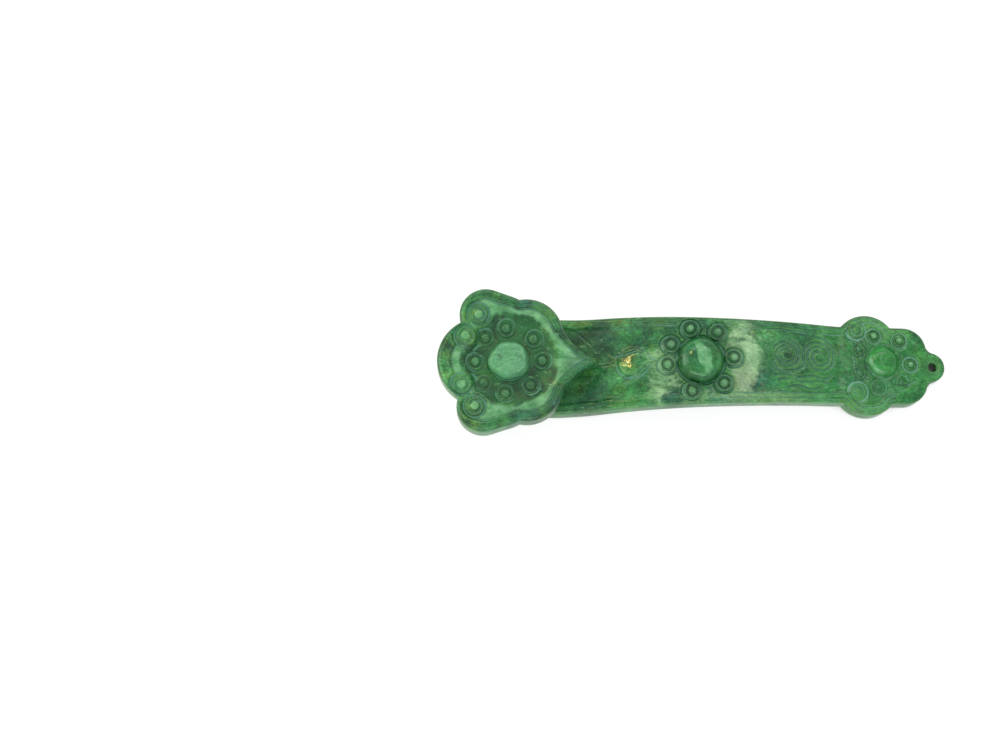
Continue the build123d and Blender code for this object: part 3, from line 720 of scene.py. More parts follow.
def shaft_carving(s, y, away):
    """Height of the carving above the border level, over the shaft and the tail."""
    u = s - JOINT_S
    on_tail, at_end = ramp(-2.5, 2.5, u), ramp(9, 14, u)
    low_side, past_rosette = ramp(1, -1, y), ramp(2, 9, s)
    border = BORDER_WIDTH - 0.5 * on_tail + 0.25 * hand(s, y, 9, 3)
    field_depth = FIELD_DEPTH - 0.17 * on_tail - 0.2 * at_end
    field = -field_depth * ramp(border - 0.4, border + 0.5 + 0.6 * on_tail, away)
    outer = np.clip(0.04 + 0.1 * hand(s, y, 10, 5), 0, 1) + 0.26 * past_rosette * (0.6 + 0.4 * low_side)
    inner = np.clip(0.1 + 0.16 * hand(s, y, 8, 8), 0, 1) + 0.22 * past_rosette
    lines = cut(away - 0.45 * border, 0.18, outer) + cut(away - 0.95 * border, 0.22, inner)
    total = field + lines * (1 - at_end)
    total = total + rosette_bed(
        s - MIDDLE_S, y, MIDDLE_BOSS_RADIUS, MIDDLE_SPOTS, MIDDLE_BEAD_RADIUS, 0.5, MIDDLE_STANDS)
    total = total + rosette_bed(
        u - TAIL_BOSS_AHEAD, y - TAIL_BOSS_Y, TAIL_BOSS_RADIUS + 0.1, TAIL_SPOTS,
        TAIL_BEAD_RADIUS - 0.02, 0.32, TAIL_STANDS)
    total = total + peach(s - PEACH_S, y)
    total = total + cloud_scroll((s - SCROLL_S) / SCROLL_SCALE, (y - SCROLL_Y) / SCROLL_SCALE)
    for line in NECK_STROKES:
        total = total + cut(distance_to(s - PEACH_S, y, line, 1.5), 0.18, 0.12)
    for line in TAIL_STROKES:
        total = total + cut(distance_to(u, y, line, 1.5), 0.22, 0.34)
    for side in (1, -1):
        eye_y = y - TAIL_BOSS_Y - side * TAIL_EYE_OUT
        total = total + scroll_eye(u - TAIL_EYE_AHEAD, eye_y, TAIL_EYE_RADIUS, 90 * side, side)
    total = total + 0.03 * hand(s, y, 3.5, 21) + 0.045 * hand(s, y, 9, 22) + 0.012 * hand(s, y, 1.2, 23)
    return total + cut(np.hypot(u - HOLE_AHEAD, y) - HOLE_RADIUS, 0.3, 0.3)


def shaft_tone(s, y):
    """Painted shade on the shaft and the tail: in the beds round the rosettes, before the tail's rosette
    and along the far edge.
    """
    u = s - JOINT_S
    from_middle = np.hypot(s - MIDDLE_S, y)
    from_tail = np.hypot(u - TAIL_BOSS_AHEAD, y - TAIL_BOSS_Y)
    middle = ramp(10.6, 9.0, from_middle) * ramp(4.6, 5.4, from_middle)
    far_edge = ramp(0.95, 0.2, thick_half_width(s) - y)
    before_tail = np.exp(-((u - 4.4) / 2.2) ** 2 - ((y - TAIL_BOSS_Y) / 5.5) ** 2)
    return -0.2 * middle - 0.85 * far_edge - 0.65 * before_tail - 0.3 * ramp(8.6, 7.0, from_tail)


on_axis = shaft_carving(np.array([SEAT_START, MIDDLE_S, PEACH_S]), np.zeros(3), np.full(3, NECK_HALF_WIDTH))
print("carving at the seat, the rosette and the peach:", on_axis.round(2))

# %% [markdown]
# ### Rings of the shaft
# Each ring goes across the top, down one side, back along the underside and up the other side. Points stand
# closer together at the edges, where the rounding is. The lug is thinner than the tail, so a soft fillet leads
# from one to the other.

# %% Rings of the shaft and the tail
TOP_COUNT, SIDE_COUNT, UNDER_COUNT = 123, 6, 25
TOP_EDGE, LUG_EDGE, UNDER_EDGE = 0.95, 0.7, 0.8
TIP_SOFTNESS, LUG_FILLET = 1.9, 0.55
BELOW_ALL = -9


def across(count):
    """Places across the stone from +1 to -1, closer together at the edges."""
    t = np.linspace(1, -1, count)
    return 0.55 * t + 0.45 * np.sin(np.pi / 2 * t)


def plate_height(s, y, edge, at_rim):
    """Height of the plain stone above its middle, with rounded edges, and the distance from its outline."""
    u = s - JOINT_S
    inside = (np.abs(y) < thick_half_width(s) + 1e-9) & (s <= TIP_S + 1e-9)
    away = np.where(inside, distance_to(s, y, thick_outline), 0)
    lug_away = np.where(at_rim, 0, distance_to(s, y, lug_outline))
    soft = edge + TIP_SOFTNESS * ramp(END_AHEAD, TAIL_END - 1, u) * ramp(7.5, 3.5, np.abs(y))
    drop = rounded_edge(np.where(at_rim, 0, away) / soft, 1.0) * edge
    full = np.where(inside, HALF - drop, BELOW_ALL)
    fillet = LUG_FILLET * ramp(TAIL_END + 1.3, TAIL_END - 0.9, u) * ramp(0, 0.8, lug_away)
    on_lug = (s > END_S) & (np.abs(y) <= lug_half_width(np.maximum(s, TIP_S)) + 1e-9)
    thin = np.where(on_lug, LUG_HALF + fillet - rounded_edge(lug_away, LUG_EDGE), BELOW_ALL)
    return np.maximum(full, thin), away


def plain_face(places, edge):
    """Grid of lengths and places across for one face, which points are its rim, and its plain height."""
    y = places[None] * half_widths[:, None]
    s = np.broadcast_to(rows[:, None], y.shape)
    rim = np.zeros(y.shape, bool)
    rim[:, [0, -1]] = True
    return s, y, rim, *plate_height(s, y, edge, rim)


def shaft_rings():
    """All the cross-sections as points, with their painted tone."""
    s, y, rim, high, away = plain_face(across(TOP_COUNT), TOP_EDGE)
    carving = shaft_carving(s, y, away) * ramp(0.1, 0.9, away + np.where(past_end[:, None], 2, 0))
    top = on_shaft(s, y, high + np.where(rim, 0, carving))
    under_s, under_y, under_rim, low, _ = plain_face(across(UNDER_COUNT)[::-1], UNDER_EDGE)
    under = on_shaft(under_s, under_y, -low + 0.02 * hand(under_s, under_y, 7, 31) * ~under_rim)
    share = np.linspace(0, 1, SIDE_COUNT + 2)[None, 1:-1, None]
    left = top[:, -1:] * (1 - share) + under[:, :1] * share
    right = under[:, -1:] * (1 - share) + top[:, :1] * share
    rings = np.concatenate([top, left, under, right], 1)
    rings[..., 2] = np.maximum(rings[..., 2], 0)
    tone = np.zeros(rings.shape[:2])
    tone[:, :TOP_COUNT] = shaft_tone(s, y)
    return rings, tone


bar_rings, bar_tone = shaft_rings()
bar_mesh = skin("jade_shaft", bar_rings, bar_tone)
print("shaft and tail points:", bar_rings.shape, "lowest", bar_rings[..., 2].min().round(3))

# %% [markdown]
# ### Cord hole
# The cord hole is drilled through the lug, square to it. A round hole doesn't follow the rings of the skin, so
# a Boolean modifier takes a round bar out of it, and the result is kept as a plain mesh. Slivers at the hole's
# rim are dissolved and faces with many sides are cut up, so that the exported mesh stays closed.

# %% Drill the cord hole
HOLE_SIDES, DRILL_LENGTH, SLIVER = 56, 9.0, 0.01


def drill(mesh, centre, axis, radius, length):
    """Mesh with a round hole through it."""
    bar = bmesh.new()
    bmesh.ops.create_cone(
        bar, cap_ends=True, segments=HOLE_SIDES, radius1=radius * MM, radius2=radius * MM, depth=length * MM)
    turn = Vector((0, 0, 1)).rotation_difference(Vector(axis)).to_matrix().to_4x4()
    bar.transform(Matrix.Translation(Vector(centre) * MM) @ turn)
    cutter_mesh = bpy.data.meshes.new("drill_bar")
    bar.to_mesh(cutter_mesh)
    bar.free()
    cutter = bpy.data.objects.new("drill_bar", cutter_mesh)
    blank = bpy.data.objects.new("undrilled", mesh)
    for made in (cutter, blank):
        bpy.context.scene.collection.objects.link(made)
    boolean = blank.modifiers.new("hole", "BOOLEAN")
    boolean.operation, boolean.solver, boolean.object = "DIFFERENCE", "EXACT", cutter
    bpy.context.view_layer.update()
    drilled = bpy.data.meshes.new_from_object(blank.evaluated_get(bpy.context.evaluated_depsgraph_get()))
    for made in (cutter, blank):
        bpy.data.objects.remove(made)
    clean = bmesh.new()
    clean.from_mesh(drilled)
    bmesh.ops.dissolve_degenerate(clean, dist=SLIVER * MM, edges=clean.edges)
    bmesh.ops.triangulate(clean, faces=[face for face in clean.faces if len(face.verts) > 4])
    clean.to_mesh(drilled)
    clean.free()
    return tidy(drilled)


hole_place = on_shaft(np.array(JOINT_S + HOLE_AHEAD), np.array(0.0), np.array(0.0))
bar_mesh = drill(bar_mesh, hole_place, (math.sin(SLOPE), 0, math.cos(SLOPE)), HOLE_RADIUS, DRILL_LENGTH)
piece("jade_shaft_and_tail", bar_mesh, BODY_JADE, "jade_body", "shaft", "tail_plaque")
print("cord hole at", hole_place.round(3))

# %% [markdown]
# ## Head
# The head is a cloud with a front lobe, two side lobes, two rear lobes and a point toward the shaft. Seen from
# its boss, the edge is met once in each direction, so rings round the boss can grow from circles in the dish
# to the lobed edge. A stepped rim runs round it, then a polished ledge, a round dish, and four scroll eyes.

# %% Plan of the head as a radius for each direction
HEAD_TOP, HEAD_LOW, DISH, HEAD_AROUND = 12.2, 5.0, 11.0, 620
FRONT_LOBE = 9.8
SIDE_LOBE, SIDE_BACK, SIDE_Y, LEFT_LEAD = 5.9, 5.2, 16.5 - 5.9, 0.65
SHOULDER, SHOULDER_BACK, SHOULDER_Y = 6.6, 1.2, 15.0 - 6.6
REAR_LOBE, REAR_AHEAD, REAR_Y = 8.2, 4.0, 14.1 - 8.2
FLANK, HEAD_TIP, TIP_HALF_WIDTH = 11.5, 20.0, 0.7


def ray_to_circle(turn, cx, cy, radius):
    """Far side of a circle, seen from the boss."""
    along = cx * np.cos(turn) + cy * np.sin(turn)
    inside = along**2 - cx * cx - cy * cy + radius * radius
    return np.where(inside > 0, along + root(inside), 0)


def hollow_flank():
    """Points of the hollow arc from a rear lobe to the head's point, which it meets at the tip's width."""
    both, ahead, aside = REAR_LOBE + FLANK, HEAD_TIP - REAR_AHEAD, REAR_Y - TIP_HALF_WIDTH
    run = math.hypot(ahead, aside)
    swing = math.acos((both**2 + run**2 - FLANK**2) / (2 * both * run)) - math.atan2(aside, ahead)
    centre = np.array([REAR_AHEAD + both * math.cos(swing), REAR_Y + both * math.sin(swing)])
    arc = np.pi + np.linspace(swing, math.asin((centre[1] - TIP_HALF_WIDTH) / FLANK), 120)
    return centre + FLANK * np.stack([np.cos(arc), np.sin(arc)], 1)


def head_radius(turn):
    """Distance from the boss to the head's edge: the farthest of the lobes, or the flank near the point."""
    far = ray_to_circle(turn, FRONT_LOBE - HEAD_FRONT, 0, FRONT_LOBE)
    for side, lead in ((1, 0), (-1, LEFT_LEAD)):
        for share in np.linspace(0, 1, 25):
            cx = (1 - share) * (-SIDE_BACK - lead) + share * -SHOULDER_BACK
            cy = side * ((1 - share) * SIDE_Y + share * SHOULDER_Y)
            radius = (1 - share) * SIDE_LOBE + share * SHOULDER
            far = np.maximum(far, ray_to_circle(turn, cx, cy, radius))
        far = np.maximum(far, ray_to_circle(turn, REAR_AHEAD, side * REAR_Y, REAR_LOBE))
    flank = hollow_flank()
    flank_turn, flank_far = np.arctan2(flank[:, 1], flank[:, 0]), np.hypot(flank[:, 0], flank[:, 1])
    order = np.argsort(flank_turn)
    folded = np.abs(np.arctan2(np.sin(turn), np.cos(turn)))
    on_flank = np.interp(folded, flank_turn[order], flank_far[order])
    on_flank = np.where(folded < flank_turn.min(), HEAD_TIP / np.cos(folded), on_flank)
    return np.where(folded <= flank_turn.max(), np.maximum(on_flank, np.where(folded < 0.6, 0, far)), far)


even_turn = np.linspace(-np.pi, np.pi, HEAD_AROUND, endpoint=False)
head_turn = even_turn - 0.45 * np.sin(even_turn)
head_far = head_radius(head_turn) - 0.006
for _ in range(2):
    head_far = (np.roll(head_far, 1) + 2 * head_far + np.roll(head_far, -1)) / 4
head_edge = np.stack([head_far * np.cos(head_turn), head_far * np.sin(head_turn)], 1)
print("head reaches", head_edge.min(0).round(2), head_edge.max(0).round(2))

# %% [markdown]
# ### Carving of the head
# The rim is broad in front and thin toward the point. Inside it lies a polished ledge, pale partly from its stone
# and partly from a painted reflection, and inside that a dish with a ragged edge, darkened by painted shade that
# deepens by its wall. The eyes stand level on the ledge in two pairs. The tone is painted at each point, so its
# edges can follow the carving.

# %% Carving and tone of the head
EYE_RADIUS, EYE_LEVEL = 2.3, -0.68
# place, start of the spiral and its direction
HEAD_EYES = [(-6.8, 10.5, 200, 1), (-9.75, 5.6, 250, -1), (-10.65, -5.6, 110, 1), (-7.65, -10.5, 160, -1)]


def head_rim(x, y):
    """Width of the head's rim: broad on the front lobe, thin toward the point."""
    return 2.4 + 0.8 * ramp(-9, -13, x) - 0.9 * ramp(7, 14, x) + 0.22 * hand(x, y, 9, 42)


def head_carving(x, y, away):
    """Height of the head's carving, measured from its rim."""
    far = np.hypot(x, y) + 0.35 * hand(x, y, 7, 41)
    rim, flank = head_rim(x, y), ramp(1, 7, x)
    ledge = -0.42 * ramp(rim - 0.35, rim + 0.5, away)
    swell = 0.2 * np.sin(np.pi * np.clip(away / rim, 0, 1))
    dish = -1.4 * ramp(DISH + 1.0, DISH - 3.6, far)
    lines = cut(away - rim, 0.24, 0.05 + 0.15 * ramp(-12, -8, x) + 0.1 * flank)
    lines = lines + cut(away - 0.62 * rim, 0.18, 0.24 * flank)
    bed = rosette_bed(x, y, HEAD_BOSS_RADIUS, HEAD_SPOTS, HEAD_BEAD_RADIUS, 0.2, HEAD_STANDS)
    total = ledge + swell + dish + lines + bed
    for ex, ey, turn, side in HEAD_EYES:
        level = ramp(3.6, 2.2, np.hypot(x - ex, y - ey))
        eye = EYE_LEVEL + scroll_eye(x - ex, y - ey, EYE_RADIUS, turn, side)
        total = total * (1 - level) + level * eye
    return total + 0.03 * hand(x, y, 3, 43) + 0.04 * hand(x, y, 8, 44) + 0.012 * hand(x, y, 1.2, 45)


def head_tone(x, y, away):
    """Painted tone of the head: a pale ledge, partly paler stone and partly a painted reflection, pale eyes,
    painted shade in the dish that deepens by its wall, and painted shade along the far edge.
    """
    far = np.hypot(x, y) + 0.5 * hand(x, y, 5, 51) + 0.25 * hand(x, y, 2, 52)
    rim = head_rim(x, y)
    # the pale ledge: partly paler stone, partly a painted reflection
    ledge = ramp(rim - 0.1, rim + 0.6, away) * ramp(9.9, 11.4, far)
    tone = (0.72 + 0.2 * hand(x, y, 6, 53) + 0.15 * ramp(4, 10, y)) * ledge
    # painted shade in the dish, deeper by its wall on the side toward the point
    tone = tone - 0.9 * ramp(11.0, 9.4, far) - 0.3 * np.exp(-((far - 9.9) / 0.8) ** 2) * ramp(-4, 4, x)
    for ex, ey, _, _ in HEAD_EYES:
        eye = np.hypot(x - ex, y - ey)
        tone = tone * ramp(2.0, 3.2, eye) + 0.95 * ramp(1.15, 0.75, eye) - 0.4 * np.exp(-((eye - 1.9) / 0.7) ** 2)
    # painted shade along the head's far edges
    far_side = ramp(-0.1, 0.5, (0.8 * y - 0.55 * x) / np.hypot(x, y))
    return tone - 0.8 * far_side * ramp(0.8, 0.15, away)


print("scroll eyes on the head:", len(HEAD_EYES))

# %% [markdown]
# ### Rings of the head
# The top grows from the boss outward, the wall goes down from the edge, and the underside runs back to the
# middle. The head sits on the rising neck of the shaft, so its underside is lifted to rest on the neck where the
# two would meet. Its point droops a little.

# %% Rings of the head
HEAD_EDGE, WALL_FOOT, UNDER_ROUND, UNDER_CEILING = 1.05, 2.4, 1.2, 11.0
DROOP_START, DROOP_RADIUS = 11.5, 25.0
SEAT_SINK, CENTRE_COUNT = 0.12, 6


def round_boss(reach):
    """X and Y of rings at distances from the boss."""
    return reach * np.cos(head_turn[None]), reach * np.sin(head_turn[None])


def head_rings():
    """Rings of the head's top, wall and underside, with their painted tone."""
    far = head_far[None]
    inner = np.linspace(0.02, DISH, 48)[:, None] + 0 * far
    share = np.linspace(0, 1, 46)[1:, None]
    share = 0.5 * share + 0.5 * np.sin(np.pi / 2 * share)
    x, y = round_boss(np.concatenate([inner, DISH + share * (far - DISH)]))
    rim = np.zeros(x.shape, bool)
    rim[-1] = True
    away = np.where(rim, 0, distance_to(x, y, np.concatenate([head_edge, head_edge[:1]])))
    droop = DROOP_RADIUS - root(DROOP_RADIUS**2 - np.clip(x - DROOP_START, 0, 12) ** 2)
    carving = np.where(rim, 0, head_carving(x, y, away) * ramp(0.1, 0.9, away))
    z = HEAD_TOP - droop - rounded_edge(away, HEAD_EDGE) + carving
    step = np.linspace(0, 1, 9)[1:, None]
    wall_z = z[-1:] * (1 - step) + (HEAD_LOW + WALL_FOOT) * step
    inset = np.concatenate([np.linspace(0.25, 1.2, 4), np.linspace(1.8, 9.0, 9)])[:, None]
    under_far = np.maximum(far - inset, 0.02)
    centre = np.linspace(0.8, 0.01, CENTRE_COUNT)[:, None] * under_far[-1:]
    ux, uy = round_boss(np.concatenate([under_far, centre]))
    lift = np.concatenate([2 * rounded_edge(inset, UNDER_ROUND), np.zeros((CENTRE_COUNT, 1))])
    uz = np.broadcast_to(HEAD_LOW + lift, ux.shape)
    shaft_x, shaft_z, _ = middle_line(np.linspace(NECK_S - 5, 0, 300))
    neck = np.interp(ux + HEAD_X, shaft_x, shaft_z + HALF) - SEAT_SINK
    uz = np.minimum(np.where((np.abs(uy) < 11.0) & (neck > uz), neck, uz), UNDER_CEILING)
    rings = np.concatenate([
        np.stack(np.broadcast_arrays(px + HEAD_X, py, pz), -1)
        for px, py, pz in ((x, y, z), (x[-1:], y[-1:], wall_z), (ux, uy, uz))])
    tone = np.zeros(rings.shape[:2])
    tone[:len(x)] = head_tone(x, y, away)
    return rings, tone


piece("jade_head", skin("jade_head", *head_rings()), BODY_JADE, "jade_body", "head_plaque")

# %% [markdown]
# ## Bosses
# Three bosses stand in the rosettes. The head's is a pale, nearly flat table with soft corners, a little out of
# round. The middle one is a clear round dome, and the tail's is a low cushion. A boss is a stack of rings, so
# its section is a list of radii and heights. Slow waves make it as uneven as hand grinding leaves it.
# Light is painted on two of them: a pale streak on the dome, with painted shade at its rim and on its left, and pale
# crescent highlights on the left and lower edge of the cushion.

# %% Turn the bosses
DISH_FLOOR, TAIL_SINK, BOSS_BASE_BEND = 10.4, 0.4, 130.0
FOOT = [(1.0, -0.6), (1.0, -1.2), (0.6, -1.2), (0, -1.2)]
TABLE = [(0, 2.28), (0.5, 2.27), (0.8, 2.2), (0.89, 1.98), (0.97, 1.3), (1.0, 0.6), (1.0, -0.4)] + FOOT[1:]
DOME = [(0, 2.97), (0.25, 2.88), (0.5, 2.56), (0.75, 1.85), (0.92, 0.85), (1.0, 0.0)] + FOOT
CUSHION = [(0, 1.8), (0.35, 1.75), (0.58, 1.52), (0.76, 1.08), (0.9, 0.52), (1.0, 0.0)] + FOOT


def boss(name, node, stone, radius, section, place, out_of_round, seed, glow=0.0, lit_crescent=0.0):
    """Boss from its half-section of radius shares and heights, set at a place on the stone, with painted light:
    a highlight streak with shaded rim and left side, or highlights on the left and lower edge.
    """
    turn = np.linspace(0, 2 * np.pi, 120, endpoint=False)[None]
    section = bow(*section, count=64)
    share, high = np.maximum(section[:, :1], 0.003), section[:, 1:]
    wave = sum(out_of_round * part * np.cos(k * (turn + seed)) for k, part in ((2, 1 / 2), (3, 1 / 3), (5, 2 / 5)))
    reach = radius * share * (1 + wave * ramp(0.2, 0.9, share))
    x, y = reach * np.cos(turn), reach * np.sin(turn)
    z = high + 0.03 * hand(x, y, 4, seed) * (high > 0)
    along = np.hypot((x - 0.5 + 0.3 * y + 0.35 * hand(x, y, 2.2, 62)) / 1.35, y / 3.7)
    # painted highlight streak, with painted shade at the rim and on the left side
    tone = glow * (1.3 * ramp(1.3, 0.5, along) - 0.6 * ramp(0.7, 0.97, share) - 0.3 * ramp(-0.8, -3.2, x))
    # painted highlight: a crescent on the left and lower edge
    edge = np.exp(-((share - 0.82) / 0.1) ** 2) * (high > 0)
    tone = tone + lit_crescent * edge * ramp(0.35, 0.8, -0.82 * np.cos(turn) - 0.57 * np.sin(turn))
    piece(name, skin(name, place(x, y, z), tone), stone, "jade_boss", node)


def in_head(x, y, z):
    """Places in the head's dish, seen from its boss."""
    return np.stack([x + HEAD_X, y, z + DISH_FLOOR], -1)


def on_middle(x, y, z):
    """Places on the arch, seen from the middle boss, with a base that bends less than the arch."""
    s = MIDDLE_S + x * ARCH_HEAD_RADIUS / (ARCH_HEAD_RADIUS + HALF)
    return on_shaft(s, y, HALF + z + x * x / BOSS_BASE_BEND)


def on_tail(x, y, z):
    """Places in the tail's field, seen from its boss."""
    return on_shaft(JOINT_S + TAIL_BOSS_AHEAD + x, y + TAIL_BOSS_Y, HALF - TAIL_SINK + z)


boss("jade_head_boss", "head_boss", BOSS_JADE, HEAD_BOSS_RADIUS, TABLE, in_head, 0.085, 3)
boss("jade_middle_boss", "middle_boss", DOME_JADE, MIDDLE_BOSS_RADIUS, DOME, on_middle, 0.02, 5, glow=1.2)
boss("jade_tail_boss", "tail_boss", DOME_JADE, TAIL_BOSS_RADIUS, CUSHION, on_tail, 0.05, 7, lit_crescent=1.0)

# %% [markdown]
# ## Drilled beads
# Round each boss stands a ring of small beads. Each was cut with a tube drill, which leaves a groove between a
# rim and a core. They repeat, so Geometry Nodes make them: a grid is rolled up into one turned bead by two
# profile curves, the bead is set on each point of a ring along its own up direction, and a noise makes every
# bead a little different. The sizes, the unevenness and the seed are inputs of the tree.

# %% Inputs and section of a drilled bead
BEAD_HEIGHT, BEAD_SEAT, BEAD_UNEVENNESS = 1.1, 0.8, 0.28
# share of the radius, share of the height and painted tone, from the foot to the top
# the tone paints shade on the foot and in the drill groove; the tree paints a glint on the core
BEAD_SECTION = [
    (1.0, 0.0, -0.3), (1.0, 0.42, -0.3), (0.985, 0.58, -0.1), (0.93, 0.69, 0.15), (0.85, 0.72, 0.0),
    (0.76, 0.65, -0.4), (0.66, 0.52, -0.7), (0.56, 0.56, -0.7), (0.47, 0.78, -0.3), (0.28, 0.95, 0.0),
    (0.0, 1.0, 0.0),
]
BEAD_INPUTS = {
    "Geometry": "NodeSocketGeometry", "Bead radius": "NodeSocketFloat", "Bead height": "NodeSocketFloat",
    "Seat depth": "NodeSocketFloat", "Unevenness": "NodeSocketFloat", "Seed": "NodeSocketInt",
    "Painted core glint": "NodeSocketFloat", "Stone": "NodeSocketMaterial",
}
print("bead section:", len(BEAD_SECTION), "points, inputs:", len(BEAD_INPUTS))


# %% Geometry Nodes tree for drilled beads
class BeadNodes(Nodes):
    """Node helper with the few steps that the bead tree repeats."""

    def profile(self, value, column):
        curve = self.node("ShaderNodeFloatCurve", {"Value": value})
        curve.mapping.clip_min_y = -1.0
        points = curve.mapping.curves[0].points
        while len(points) < len(BEAD_SECTION):
            points.new(0.5, 0.5)
        for i, row in enumerate(BEAD_SECTION):
            points[i].location = (i / (len(BEAD_SECTION) - 1), row[column])
        curve.mapping.update()
        return curve.outputs[0]

    def keep(self, geometry, name, value):
        return self.node("GeometryNodeStoreNamedAttribute", {
            "Geometry": geometry, "Name": name, "Value": value}, data_type="FLOAT", domain="POINT").outputs[0]

    def kept(self, name, kind="FLOAT"):
        return self.node("GeometryNodeInputNamedAttribute", {"Name": name}, data_type=kind).outputs[0]


def turned_bead(nodes, given):
    """One bead: a grid rolled up round its axis, with its painted shade and the mask of its core, where a glint is
    painted.
    """
    grid = nodes.node("GeometryNodeMeshGrid", {"Size X": 1.0, "Size Y": 1.0, "Vertices X": 37, "Vertices Y": 41})
    spot = nodes.node("ShaderNodeSeparateXYZ", {0: nodes.node("GeometryNodeInputPosition").outputs[0]}).outputs
    turn = nodes.math("MULTIPLY", nodes.math("ADD", spot["X"], 0.5), 2 * math.pi)
    along = nodes.math("ADD", spot["Y"], 0.5)
    reach = nodes.math("MULTIPLY", nodes.profile(along, 0), given["Bead radius"])
    whole = nodes.math("ADD", given["Bead height"], given["Seat depth"])
    rolled = nodes.node("ShaderNodeCombineXYZ", {
        "X": nodes.math("MULTIPLY", reach, nodes.math("COSINE", turn)),
        "Y": nodes.math("MULTIPLY", reach, nodes.math("SINE", turn)),
        "Z": nodes.math("SUBTRACT", nodes.math("MULTIPLY", nodes.profile(along, 1), whole), given["Seat depth"])})
    painted = nodes.keep(grid.outputs["Mesh"], "tone", nodes.profile(along, 2))
    painted = nodes.keep(painted, "core", nodes.span(along, 0.82, 0.93, kind="LINEAR"))
    bead = nodes.node("GeometryNodeSetPosition", {"Geometry": painted, "Position": rolled.outputs[0]}).outputs[0]
    return nodes.node("GeometryNodeMergeByDistance", {"Geometry": bead, "Distance": 0.004 * MM}).outputs[0]


def bead_tree():
    """Tree that sets an uneven drilled bead on each point, with the identifiers of its inputs."""
    tree = bpy.data.node_groups.new("drilled_beads", "GeometryNodeTree")
    ids = {name: tree.interface.new_socket(name=name, in_out="INPUT", socket_type=kind).identifier
           for name, kind in BEAD_INPUTS.items()}
    tree.interface.new_socket(name="Geometry", in_out="OUTPUT", socket_type="NodeSocketGeometry")
    nodes = BeadNodes(tree)
    given = nodes.node("NodeGroupInput").outputs
    turned = nodes.node("FunctionNodeAlignRotationToVector", {"Vector": nodes.kept("up", "FLOAT_VECTOR")}, axis="Z")
    size = nodes.node("FunctionNodeRandomValue", {
        "Min": (0.93, 0.93, 0.9), "Max": (1.03, 1.03, 1.0), "Seed": given["Seed"]}, data_type="FLOAT_VECTOR")
    stand = nodes.node("ShaderNodeCombineXYZ", {"X": 1.0, "Y": 1.0, "Z": nodes.kept("stand")})
    ring = nodes.node("GeometryNodeInstanceOnPoints", {
        "Points": given["Geometry"], "Instance": turned_bead(nodes, given), "Rotation": turned.outputs[0],
        "Scale": nodes.vector("MULTIPLY", size.outputs[0], stand.outputs[0])})
    solid = nodes.node("GeometryNodeRealizeInstances", {"Geometry": ring.outputs[0]}).outputs[0]
    # painted glint on the cores, scaled by each bead's stand
    glint = nodes.math("MULTIPLY", nodes.kept("core"), nodes.kept("stand"))
    glint = nodes.math("MULTIPLY", glint, given["Painted core glint"])
    solid = nodes.keep(solid, "tone", nodes.math("ADD", nodes.kept("tone"), glint))
    rough = nodes.node("ShaderNodeTexNoise", {
        "W": given["Seed"], "Scale": 520.0, "Detail": 2.0}, noise_dimensions="4D")
    shove = nodes.vector("SUBTRACT", rough.outputs["Color"], (0.5, 0.5, 0.55))
    shove = nodes.node("ShaderNodeVectorMath", {0: shove, "Scale": given["Unevenness"]}, operation="SCALE").outputs[0]
    worn = nodes.node("GeometryNodeSetPosition", {"Geometry": solid, "Offset": shove}).outputs[0]
    soft = nodes.node("GeometryNodeSetShadeSmooth", {"Geometry": worn}).outputs[0]
    done = nodes.node("GeometryNodeSetMaterial", {"Geometry": soft, "Material": given["Stone"]}).outputs[0]
    nodes.node("NodeGroupOutput", {0: done})
    return tree, ids


BEAD_TREE, BEAD_IDS = bead_tree()
print("bead tree nodes:", len(BEAD_TREE.nodes))

# %% [markdown]
# Each ring starts as a few loose points with an up direction, which are the seats of its beads. The tree is
# put on them as a modifier and its result is kept as a plain mesh, because an exported model holds no trees.
# The foot of each bead is open after the rolling and is closed by the same tidying as the other pieces.


# %% Set the three rings of beads
def bead_ring(ring, seats, ups, stands, radius, seed, pale):
    """One ring of beads as a piece; stands tell how far each bead is worn down, and pale is the share of the painted
    glint on the cores.
    """
    name = f"jade_{ring}_beads"
    start = bpy.data.meshes.new(name + "_seats")
    start.from_pydata((seats * MM).tolist(), [], [])
    start.attributes.new("up", "FLOAT_VECTOR", "POINT").data.foreach_set("vector", np.ravel(ups))
    store(start, "stand", stands)
    holder = bpy.data.objects.new(name + "_seats", start)
    bpy.context.scene.collection.objects.link(holder)
    maker = holder.modifiers.new("beads", "NODES")
    maker.node_group = BEAD_TREE
    for key, value in (
        ("Bead radius", radius * MM), ("Bead height", BEAD_HEIGHT * MM), ("Seat depth", BEAD_SEAT * MM),
        ("Unevenness", BEAD_UNEVENNESS * MM), ("Seed", seed), ("Painted core glint", pale), ("Stone", BEAD_JADE),
    ):
        maker[BEAD_IDS[key]] = value
    bpy.context.view_layer.update()
    mesh = bpy.data.meshes.new_from_object(holder.evaluated_get(bpy.context.evaluated_depsgraph_get()))
    bpy.data.objects.remove(holder)
    nodes = [f"{ring}_bead_{i + 1}" for i in range(len(seats))]
    piece(name, tidy(mesh), BEAD_JADE, "jade_bead", *nodes)


def shaft_seats(s, y, drop):
    """Seats on the shaft or the tail, with their up directions."""
    lean = middle_line(s)[2]
    return on_shaft(s, y, HALF - drop), np.stack([np.sin(lean), 0 * lean, np.cos(lean)], 1)


